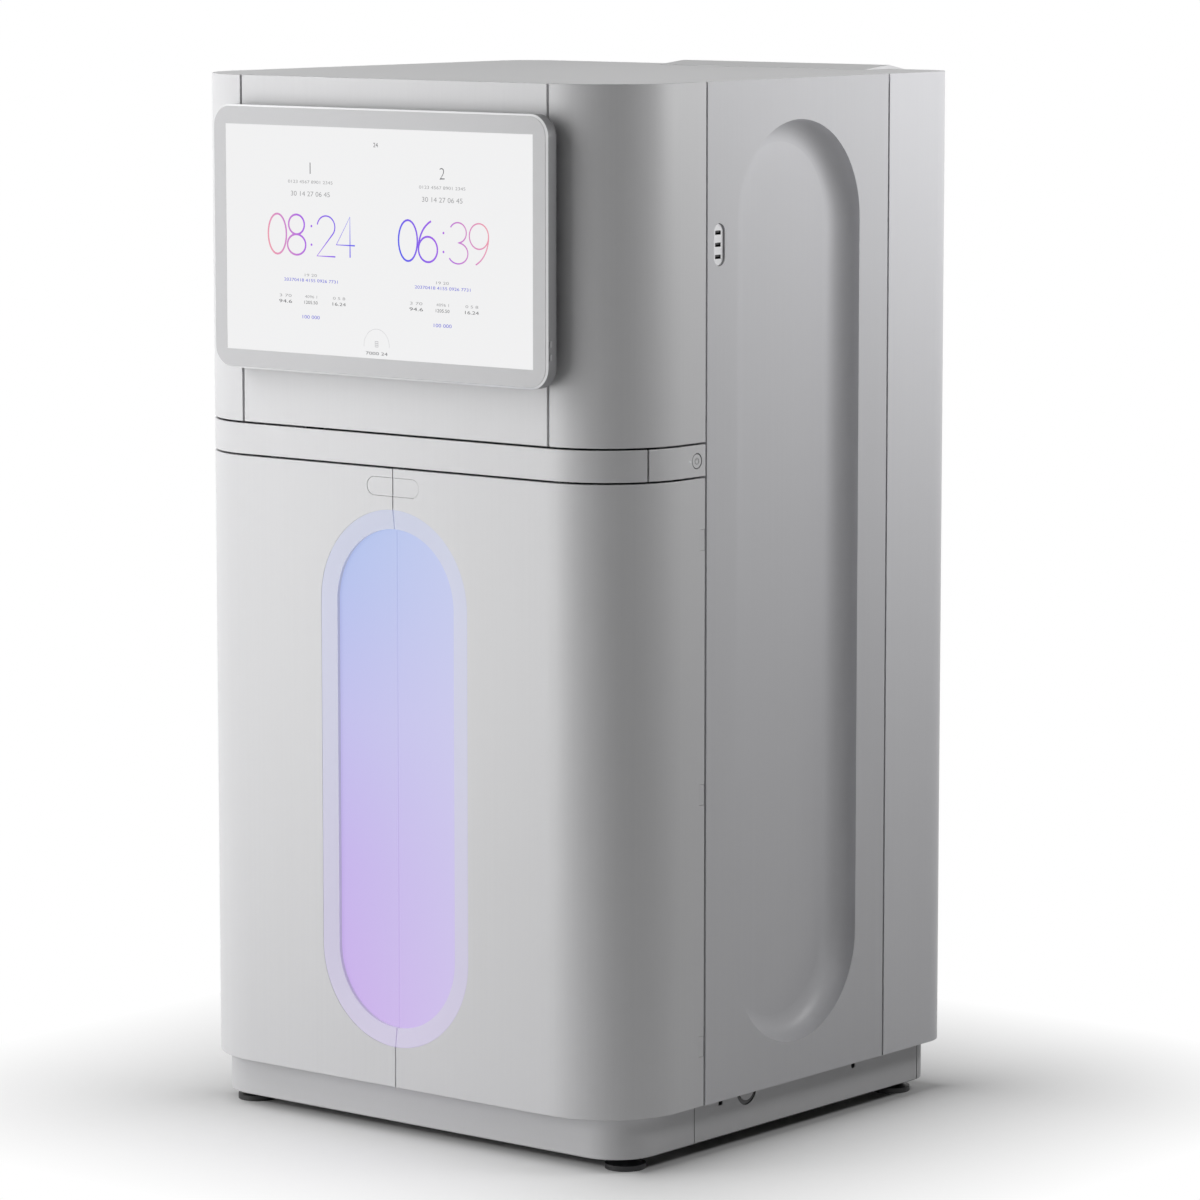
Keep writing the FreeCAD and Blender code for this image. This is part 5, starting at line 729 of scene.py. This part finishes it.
class SEQUENCER_OT_finishes(bpy.types.Operator):
    """Give every CAD part its finish"""
    bl_idname = "sequencer.finishes"
    bl_label = "Finishes"

    def execute(self, context):
        look = context.scene.sequencer_cabinet
        rough = look.shroud_roughness
        side_colour = tuple(look.side_colour)
        paint(
            ("left_door", "right_door", "left_upper_corner", "right_upper_corner", "band_end_caps",
             "shelf_front", "visor_panel", "top_cover", "left_latch_pad", "right_latch_pad",
             "door_hinges"),
            satin_paint("satin_silver_shroud", tuple(look.shroud_colour), rough))
        paint(
            ("left_side_panel", "right_side_panel"),
            satin_paint("satin_silver_side", side_colour, rough))
        # Rear corners and rear panel take the side paint made 16% lighter: painted light, for the
        # rear's brighter look under the lamps.
        paint(
            ("left_rear_corner", "right_rear_corner", "rear_panel"),
            satin_paint("satin_silver_rear_painted_lighter", shade(side_colour, 1.16), rough))
        paint(
            ("skirt_front", "skirt_left", "skirt_right", "skirt_rear"),
            skirt_finish("satin_skirt_painted_shade", tuple(look.skirt_colour)))
        paint(
            ("base_frame", "frame_cage", "lower_deck", "upper_deck", "floor_pan"),
            powder_coat("dark_frame_coat", (0.045, 0.047, 0.05), 0.55))
        paint(
            ("rear_panel_screws", "visor_carriage"),
            brushed_metal("zinc_plate", (0.56, 0.57, 0.59), 0.38, (60, 900, 900)))
        paint(("levelling_feet",), foot_finish("foot_pad_and_stem"))
        paint(
            ("visor_rails", "shelf_rails"),
            brushed_metal("ground_rail", (0.62, 0.63, 0.64), 0.26, (900, 900, 20)))
        paint(
            ("bay_liner", "upper_bay_liner", "optics_cover", "shelf_tray"),
            moulded_plastic("bay_liner_plastic", (0.36, 0.37, 0.39), 0.55))
        paint(
            ("reagent_drawers", "buffer_drawer"),
            moulded_plastic("drawer_plastic", (0.58, 0.59, 0.62), 0.45))
        paint(("waste_bottles",), bottle_finish("bottle_and_cap"))
        paint(("monitor_housing",), monitor_finish("monitor_silver_highlight_and_shade"))
        paint(
            ("monitor_key_upper", "monitor_key_lower"),
            satin_paint("key_silver", (0.42, 0.42, 0.43), 0.34, 0.3, 0.03))
        paint(("usb_plate",), port_finish("port_plate_painted_shade"))
        paint(("power_button",), button_finish("button_silver_painted_rim_shade"))
        paint(
            ("power_switch", "fan_frames", "fan_rotor_1", "fan_rotor_2", "mains_inlet",
             "mains_rocker"),
            moulded_plastic("black_plastic", (0.012, 0.012, 0.013), 0.42))
        paint(("exhaust_plenum",), satin_paint("exhaust_paint", (0.80, 0.80, 0.81), 0.42))
        paint(
            ("stage_base", "stage_table"),
            brushed_metal("milled_aluminium", (0.66, 0.67, 0.68), 0.34, (30, 900, 900)))
        paint(("objectives",), objective_finish("black_anodised_with_bands"))
        paint(
            ("power_supply", "control_computer"),
            powder_coat("service_box", (0.10, 0.105, 0.11), 0.5))
        paint(("flow_cells",), laned_glass("flow_cell_glass"))
        return {"FINISHED"}


class SEQUENCER_OT_window(bpy.types.Operator):
    """Light the window in the doors and its frame"""
    bl_idname = "sequencer.window"
    bl_label = "Window"

    def execute(self, context):
        look = context.scene.sequencer_window
        paint(("left_window_lens", "right_window_lens"), lit_window("lit_diffuser", look))
        paint(("left_window_trim", "right_window_trim"), window_frame_finish("milky_window_frame"))
        return {"FINISHED"}


class SEQUENCER_OT_screen(bpy.types.Operator):
    """Light the screen and lay its clocks, numbers and home mark on it"""
    bl_idname = "sequencer.screen"
    bl_label = "Screen"

    def execute(self, context):
        look = context.scene.sequencer_screen
        paint(("display",), glowing("lit_screen", tuple(look.background), 0.95))
        pink, violet, blue = (0.85, 0.32, 0.42), (0.38, 0.10, 0.80), (0.08, 0.09, 0.85)
        runs = (
            ("first_clock", look.first_clock, -0.1269, [(0.0, pink), (0.45, violet), (1.0, blue)]),
            ("second_clock", look.second_clock, 0.1290, [(0.0, blue), (0.45, violet), (1.0, pink)]),
        )
        for name, text, middle, stops in runs:
            digits = clock(text, (middle, CLOCK_Z), look.digit_height, (0.0029, 0.0021))
            digits.name = name
            ink = clock_ink(f"{name}_ink", stops, middle - CLOCK_REACH, middle + CLOCK_REACH)
            dress_piece(digits, ink, "visor")
        grey, link = [], []
        dark = [flat_number("24", (0.0, 1.4873), 0.0065)]
        for number, middle in (("1", -0.1283), ("2", 0.1273)):
            dark.append(flat_number(number, (middle, 1.4496), 0.0165, None, 0.02))
            grey.append(flat_number("0123 4567 8901 2345", (middle, 1.4293), 0.0046, 0.088))
            grey.append(flat_number("30 14 27 06 45", (middle, 1.4118), 0.0072, 0.077))
            grey.append(flat_number("19 20", (middle, 1.2922), 0.0042, 0.024))
            link.append(flat_number("20370418 4155 0926 7731", (middle, 1.2845), 0.0046, 0.106))
            for offset, text, label in (
                    (-0.0505, "94.6", "3 70"), (0.0, "1205.50", "4096 1"),
                    (0.0555, "16.24", "0 5 8")):
                grey.append(flat_number(label, (middle + offset, 1.2605), 0.0042, 0.024))
                dark.append(flat_number(text, (middle + offset, 1.2520), 0.0048, 0.026))
            link.append(flat_number("100 000", (middle, 1.2305), 0.0052, 0.034))
        dark.append(flat_number("7000 24", (0.0, 1.1835), 0.0045, 0.042))
        for name, group, colour in (
                ("screen_grey_numbers", grey, (0.36, 0.36, 0.37)),
                ("screen_dark_numbers", dark, (0.10, 0.10, 0.11)),
                ("screen_blue_numbers", link, (0.10, 0.10, 0.72))):
            dress_piece(join(group, name), glowing(f"{name}_ink", colour, 0.9), "visor")
        self.home_mark()
        return {"FINISHED"}

    def home_mark(self):
        """Half ring at the foot of the screen with a small tray mark in it."""
        deselect()
        centre = (0, SCREEN_Y, HOME_MARK_Z)
        bpy.ops.mesh.primitive_circle_add(
            vertices=64, radius=0.0248, location=centre, rotation=(RIGHT_ANGLE, 0, 0))
        ring = start_piece("screen_home_ring")
        settle(ring)
        edit_all()
        bpy.ops.mesh.bisect(plane_co=(0, 0, 1.193), plane_no=(0, 0, 1), clear_inner=True)
        bpy.ops.mesh.select_all(action="SELECT")
        bpy.ops.mesh.extrude_edges_move()
        bpy.ops.transform.resize(value=(0.985, 1, 0.985), center_override=centre)
        bpy.ops.object.mode_set(mode="OBJECT")
        bars = [
            screen_bar((0.0, 1.2010 - 0.0026 * step), (0.0052, 0.0008)) for step in range(4)]
        sides = [screen_bar((x, 1.1971), (0.0006, 0.0086)) for x in (-0.0029, 0.0029)]
        whole = join([ring] + bars + sides, "screen_home_mark")
        dress_piece(whole, glowing("home_mark_ink", (0.42, 0.42, 0.44), 0.9), "visor")


class SEQUENCER_OT_power(bpy.types.Operator):
    """Add the standby mark on the power button and the lamp beside it"""
    bl_idname = "sequencer.power"
    bl_label = "Power button marks"

    def execute(self, context):
        middle = (BUTTON_LOW + BUTTON_HIGH) / 2
        face = BUTTON_HIGH.x
        deselect()
        bpy.ops.mesh.primitive_torus_add(
            major_radius=0.0043, minor_radius=0.00045, major_segments=48, minor_segments=8,
            location=(face, middle.y, middle.z), rotation=(0, RIGHT_ANGLE, 0))
        ring = start_piece("standby_ring")
        settle(ring)
        bpy.ops.object.mode_set(mode="EDIT")
        bpy.ops.mesh.select_all(action="DESELECT")
        bpy.ops.object.mode_set(mode="OBJECT")
        for vertex in ring.data.vertices:
            vertex.select = abs(vertex.co.y - middle.y) < 0.0018 and vertex.co.z > middle.z
        bpy.ops.object.mode_set(mode="EDIT")
        bpy.ops.mesh.delete(type="VERT")
        bpy.ops.mesh.select_all(action="SELECT")
        bpy.ops.mesh.region_to_loop()
        bpy.ops.mesh.edge_face_add()
        bpy.ops.object.mode_set(mode="OBJECT")
        bar = rod((face, middle.y, middle.z + 0.0032), 0.00045, 0.0040, "z", 12, 0.00015)
        dress_piece(
            join([ring, bar], "standby_mark"),
            moulded_plastic("mark_grey", (0.24, 0.24, 0.25), 0.4), "power_button")
        deselect()
        centre = Vector((BAND_HIGH.x - 0.0009, -0.2757, middle.z))
        bpy.ops.mesh.primitive_uv_sphere_add(
            segments=20, ring_count=12, radius=0.0016, location=centre)
        lamp = start_piece("power_lamp")
        settle(lamp)
        edit_all()
        bpy.ops.mesh.bisect(
            plane_co=centre - Vector((0.0004, 0, 0)), plane_no=(1, 0, 0),
            clear_inner=True, use_fill=True)
        bpy.ops.object.mode_set(mode="OBJECT")
        bpy.ops.object.shade_smooth_by_angle(angle=math.radians(40))
        dress_piece(lamp, glowing("lamp_white", (0.85, 0.88, 0.92), 0.8), "cabinet")
        return {"FINISHED"}


class SEQUENCER_OT_dust_screen(bpy.types.Operator):
    """Lay a woven dust screen behind the exhaust louvres"""
    bl_idname = "sequencer.dust_screen"
    bl_label = "Dust screen"

    def execute(self, context):
        left, right, low, high = -0.056, 0.248, 0.952, 1.152
        pitch, radius = 0.006, 0.00045
        inner = EXHAUST_BACK - 0.0021
        across, up = (left + right) / 2, (low + high) / 2
        upright = rod((left + pitch, inner - 0.0018, up), radius, high - low, "z", 6, 0.0001)
        wires = repeats(upright, [(pitch * step, 0, 0) for step in range(1, 50)])
        level = rod((across, inner - 0.0010, low + pitch), radius, right - left, "x", 6, 0.0001)
        wires += repeats(level, [(0, 0, pitch * step) for step in range(1, 33)])
        rim, lap, depth = 0.003, 0.004, 0.003
        post = block(
            (left - lap, inner - depth, low - lap), (left + rim, inner, high + lap), 0.0006)
        rails = repeats(post, [(right - left + lap - rim, 0, 0)])
        sill = block(
            (left + rim, inner - depth, low - lap), (right - rim, inner, low + rim), 0.0006)
        rails += repeats(sill, [(0, 0, high - low + lap - rim)])
        dress_piece(
            join(rails + wires, "dust_screen"),
            brushed_metal("screen_wire", (0.34, 0.35, 0.36), 0.45, (700, 700, 700)),
            "cabinet")
        return {"FINISHED"}


class SEQUENCER_OT_screw_sockets(bpy.types.Operator):
    """Mark the hexagon sockets in the rear screws"""
    bl_idname = "sequencer.screw_sockets"
    bl_label = "Screw sockets"

    def execute(self, context):
        radius = 0.004
        bottom, top = SCREWS_LOW.z + radius, SCREWS_HIGH.z - radius
        rows = 5
        pitch, across = (top - bottom) / (rows - 1), SCREWS_HIGH.x - SCREWS_LOW.x - radius * 2
        socket = rod(
            (SCREWS_LOW.x + radius, SCREWS_HIGH.y, bottom), 0.0015, 0.0003, "y", 6, -0.0001)
        places = [(across * side, 0, pitch * row) for side in (0, 1) for row in range(rows)]
        sockets = repeats(socket, places[1:])
        dress_piece(
            join(sockets, "screw_sockets"),
            moulded_plastic("socket_shadow", (0.012, 0.012, 0.013), 0.5), "cabinet")
        return {"FINISHED"}


class SEQUENCER_OT_drawer_plates(bpy.types.Operator):
    """Put a numbered plate and a small lamp on each drawer"""
    bl_idname = "sequencer.drawer_plates"
    bl_label = "Drawer plates"

    def execute(self, context):
        front = DRAWER_FRONT
        places = [(-0.1655, 0.663), (-0.1655, 0.359), (0.1655, 0.729)]
        x, z = places[0]
        moves = [(other[0] - x, 0, other[1] - z) for other in places[1:]]
        plate = block((x - 0.028, front - 0.0011, z - 0.012), (x + 0.028, front, z + 0.012), 0.0005)
        plates = repeats(plate, moves)
        lamp = rod((x + 0.118, front - 0.0004, z), 0.0028, 0.0010, "y", 24, 0.0003)
        lamps = repeats(lamp, moves)
        numbers = [
            flat_number(str(number + 1), place, 0.013, front=front - 0.0012)
            for number, place in enumerate(places)]
        dress_piece(
            join(plates, "drawer_plates"),
            moulded_plastic("plate_white", (0.74, 0.74, 0.75), 0.4), "cabinet")
        dress_piece(
            join(numbers, "drawer_numbers"),
            moulded_plastic("plate_ink", (0.05, 0.05, 0.055), 0.5), "cabinet")
        dress_piece(
            join(lamps, "drawer_lamps"), glowing("drawer_lamp_green", (0.20, 0.75, 0.42), 0.9),
            "cabinet")
        return {"FINISHED"}


class SEQUENCER_OT_bottle_details(bpy.types.Operator):
    """Rib the bottle caps and mark levels on the bottles"""
    bl_idname = "sequencer.bottle_details"
    bl_label = "Bottle details"

    def execute(self, context):
        radius = 0.085
        middle = (BOTTLES_LOW.x + BOTTLES_HIGH.x) / 2
        first, second = BOTTLES_LOW.y + radius, BOTTLES_HIGH.y - radius
        apart = second - first
        ribs_round, levels, pitch = 40, 5, 0.036
        rib = rod((middle + 0.032, first, 0.3785), 0.0013, 0.0174, "z", 6, 0.0003)
        axis = Vector((middle, first, 0))
        turns = [
            Matrix.Translation(axis + Vector((0, apart * bottle, 0)))
            @ Matrix.Rotation(math.radians(360 / ribs_round * step), 4, "Z")
            @ Matrix.Translation(-axis)
            for bottle in (0, 1) for step in range(ribs_round)]
        ribs = repeats(rib, turns[1:])
        face, low = first - radius, BOTTLES_LOW.z + pitch
        mark = block(
            (middle - 0.012, face - 0.0003, low - 0.0006),
            (middle + 0.004, face + 0.0010, low + 0.0006), 0.0001)
        places = [
            (0, apart * bottle, pitch * level) for bottle in (0, 1) for level in range(levels)]
        marks = repeats(mark, places[1:])
        for level in range(levels):
            number = flat_number(
                str(level + 1), (middle + 0.012, low + pitch * level), 0.007, front=face + 0.0002)
            marks += repeats(number, [(0, apart, 0)])
        dress_piece(
            join(ribs, "cap_ribs"),
            moulded_plastic("cap_blue", (0.10, 0.16, 0.30), 0.42), "cabinet")
        dress_piece(
            join(marks, "bottle_marks"),
            moulded_plastic("mark_ink", (0.12, 0.13, 0.14), 0.5), "cabinet")
        return {"FINISHED"}


class SEQUENCER_OT_studio(bpy.types.Operator):
    """Set up the floor, the lamps, the world and the camera"""
    bl_idname = "sequencer.studio"
    bl_label = "Studio"

    def execute(self, context):
        look = context.scene.sequencer_studio
        self.floor()
        self.world(look.ambient)
        self.lamp("key_lamp", look.key_power, 2.0, -27, 3.2, 0.95, 0.85)
        self.lamp("high_lamp", look.high_power, 2.0, -42, 2.6, 2.75, 0.9)
        self.lamp("side_lamp", look.side_power, 0.9, 109, 1.85, 1.95, 1.78)
        data = bpy.data.cameras.new("photo_camera")
        data.sensor_width = 36.0
        data.lens = look.lens
        data.clip_end = 60.0
        camera = bpy.data.objects.new("photo_camera", data)
        context.scene.collection.objects.link(camera)
        camera.location = CAMERA_PLACE
        camera.rotation_euler = (RIGHT_ANGLE - look.camera_tilt, 0, look.camera_turn)
        context.scene.camera = camera
        context.scene.view_settings.view_transform = "Standard"
        return {"FINISHED"}

    def seen(self, tree):
        """1 for rays from the camera, mirrors and glass, 0 for the rest."""
        light = tree.nodes.new("ShaderNodeLightPath")
        rays = [Signal(tree, light.outputs[f"Is {kind} Ray"]) for kind in ("Camera", "Glossy")]
        return (rays[0] + rays[1] + Signal(tree, light.outputs["Is Transmission Ray"])).clamped()

    def floor(self):
        deselect()
        bpy.ops.mesh.primitive_plane_add(size=40, location=(0, 0, 0))
        plane = start_piece("studio_floor")
        finish = Finish("pale_floor")
        x, y = finish.axes()[:2]
        beside = (x.size() - 0.41).clamped()
        before = ((y - 0.02).size() - 0.37).clamped()
        far = (((beside * beside + before * before) ** 0.5) * (1 / 0.55)).clamped() ** 0.6
        seen = self.seen(finish.tree)
        speckle = finish.noise(40.0, 3.0)
        matt = finish.node(
            "ShaderNodeBsdfPrincipled", {},
            Base_Color=finish.blend(speckle.clamped(), (0.76, 0.76, 0.76), (0.80, 0.80, 0.80)),
            Roughness=0.7)
        white = finish.node("ShaderNodeEmission", {}, Color=(1, 1, 1), Strength=1.0)
        mixed = finish.node("ShaderNodeMixShader")
        finish.feed(mixed.inputs[0], far * seen)
        finish.feed(mixed.inputs[1], matt.outputs[0])
        finish.feed(mixed.inputs[2], white.outputs[0])
        finish.tree.links.new(mixed.outputs[0], finish.output.inputs["Surface"])
        plane.data.materials.append(finish.material)

    def world(self, ambient):
        world = bpy.data.worlds.new("studio_world")
        bpy.context.scene.world = world
        world.use_nodes = True
        tree = world.node_tree
        tree.nodes.clear()
        output = tree.nodes.new("ShaderNodeOutputWorld")
        seen = self.seen(tree)
        around = tree.nodes.new("ShaderNodeBackground")
        around.inputs["Strength"].default_value = ambient
        white = tree.nodes.new("ShaderNodeBackground")
        white.inputs["Strength"].default_value = 1.0
        for node in (around, white):
            node.inputs["Color"].default_value = (1, 1, 1, 1)
        mixed = tree.nodes.new("ShaderNodeMixShader")
        tree.links.new(seen.socket, mixed.inputs[0])
        tree.links.new(around.outputs[0], mixed.inputs[1])
        tree.links.new(white.outputs[0], mixed.inputs[2])
        tree.links.new(mixed.outputs[0], output.inputs["Surface"])

    def lamp(self, name, power, size, turn, distance, height, aim):
        """Square lamp, some degrees to the right of the front, that faces a height on the axis."""
        turn = math.radians(turn)
        place = Vector((math.sin(turn) * distance, -math.cos(turn) * distance, height))
        data = bpy.data.lights.new(name, "AREA")
        data.shape = "SQUARE"
        data.size = size
        data.energy = power
        lamp = bpy.data.objects.new(name, data)
        bpy.context.scene.collection.objects.link(lamp)
        lamp.location = place
        lamp.rotation_euler = (place - Vector((0, 0, aim))).to_track_quat("Z", "Y").to_euler()


class SEQUENCER_PT_panel(bpy.types.Panel):
    bl_label = "Sequencer"
    bl_idname = "SEQUENCER_PT_panel"
    bl_space_type = "VIEW_3D"
    bl_region_type = "UI"
    bl_category = "Sequencer"

    def draw(self, context):
        for group in SETTINGS:
            box = self.layout.box()
            settings = getattr(context.scene, group)
            for name in settings.__annotations__:
                box.prop(settings, name)
        for operator in OPERATORS:
            self.layout.operator(operator.bl_idname)


OPERATORS = (
    SEQUENCER_OT_finishes,
    SEQUENCER_OT_window,
    SEQUENCER_OT_screen,
    SEQUENCER_OT_power,
    SEQUENCER_OT_dust_screen,
    SEQUENCER_OT_screw_sockets,
    SEQUENCER_OT_drawer_plates,
    SEQUENCER_OT_bottle_details,
    SEQUENCER_OT_studio,
)
SETTINGS = {
    "sequencer_cabinet": CabinetFinish,
    "sequencer_window": WindowLook,
    "sequencer_screen": ScreenLook,
    "sequencer_studio": StudioLook,
}


def register():
    for name, group in SETTINGS.items():
        bpy.utils.register_class(group)
        setattr(bpy.types.Scene, name, PointerProperty(type=group))
    for operator in OPERATORS:
        bpy.utils.register_class(operator)
    bpy.utils.register_class(SEQUENCER_PT_panel)


def unregister():
    bpy.utils.unregister_class(SEQUENCER_PT_panel)
    for operator in reversed(OPERATORS):
        bpy.utils.unregister_class(operator)
    for name, group in SETTINGS.items():
        delattr(bpy.types.Scene, name)
        bpy.utils.unregister_class(group)


def main():
    register()
    bpy.ops.sequencer.finishes()
    bpy.ops.sequencer.window()
    bpy.ops.sequencer.screen()
    bpy.ops.sequencer.power()
    bpy.ops.sequencer.dust_screen()
    bpy.ops.sequencer.screw_sockets()
    bpy.ops.sequencer.drawer_plates()
    bpy.ops.sequencer.bottle_details()
    bpy.ops.sequencer.studio()


if __name__ == "__main__":
    main()
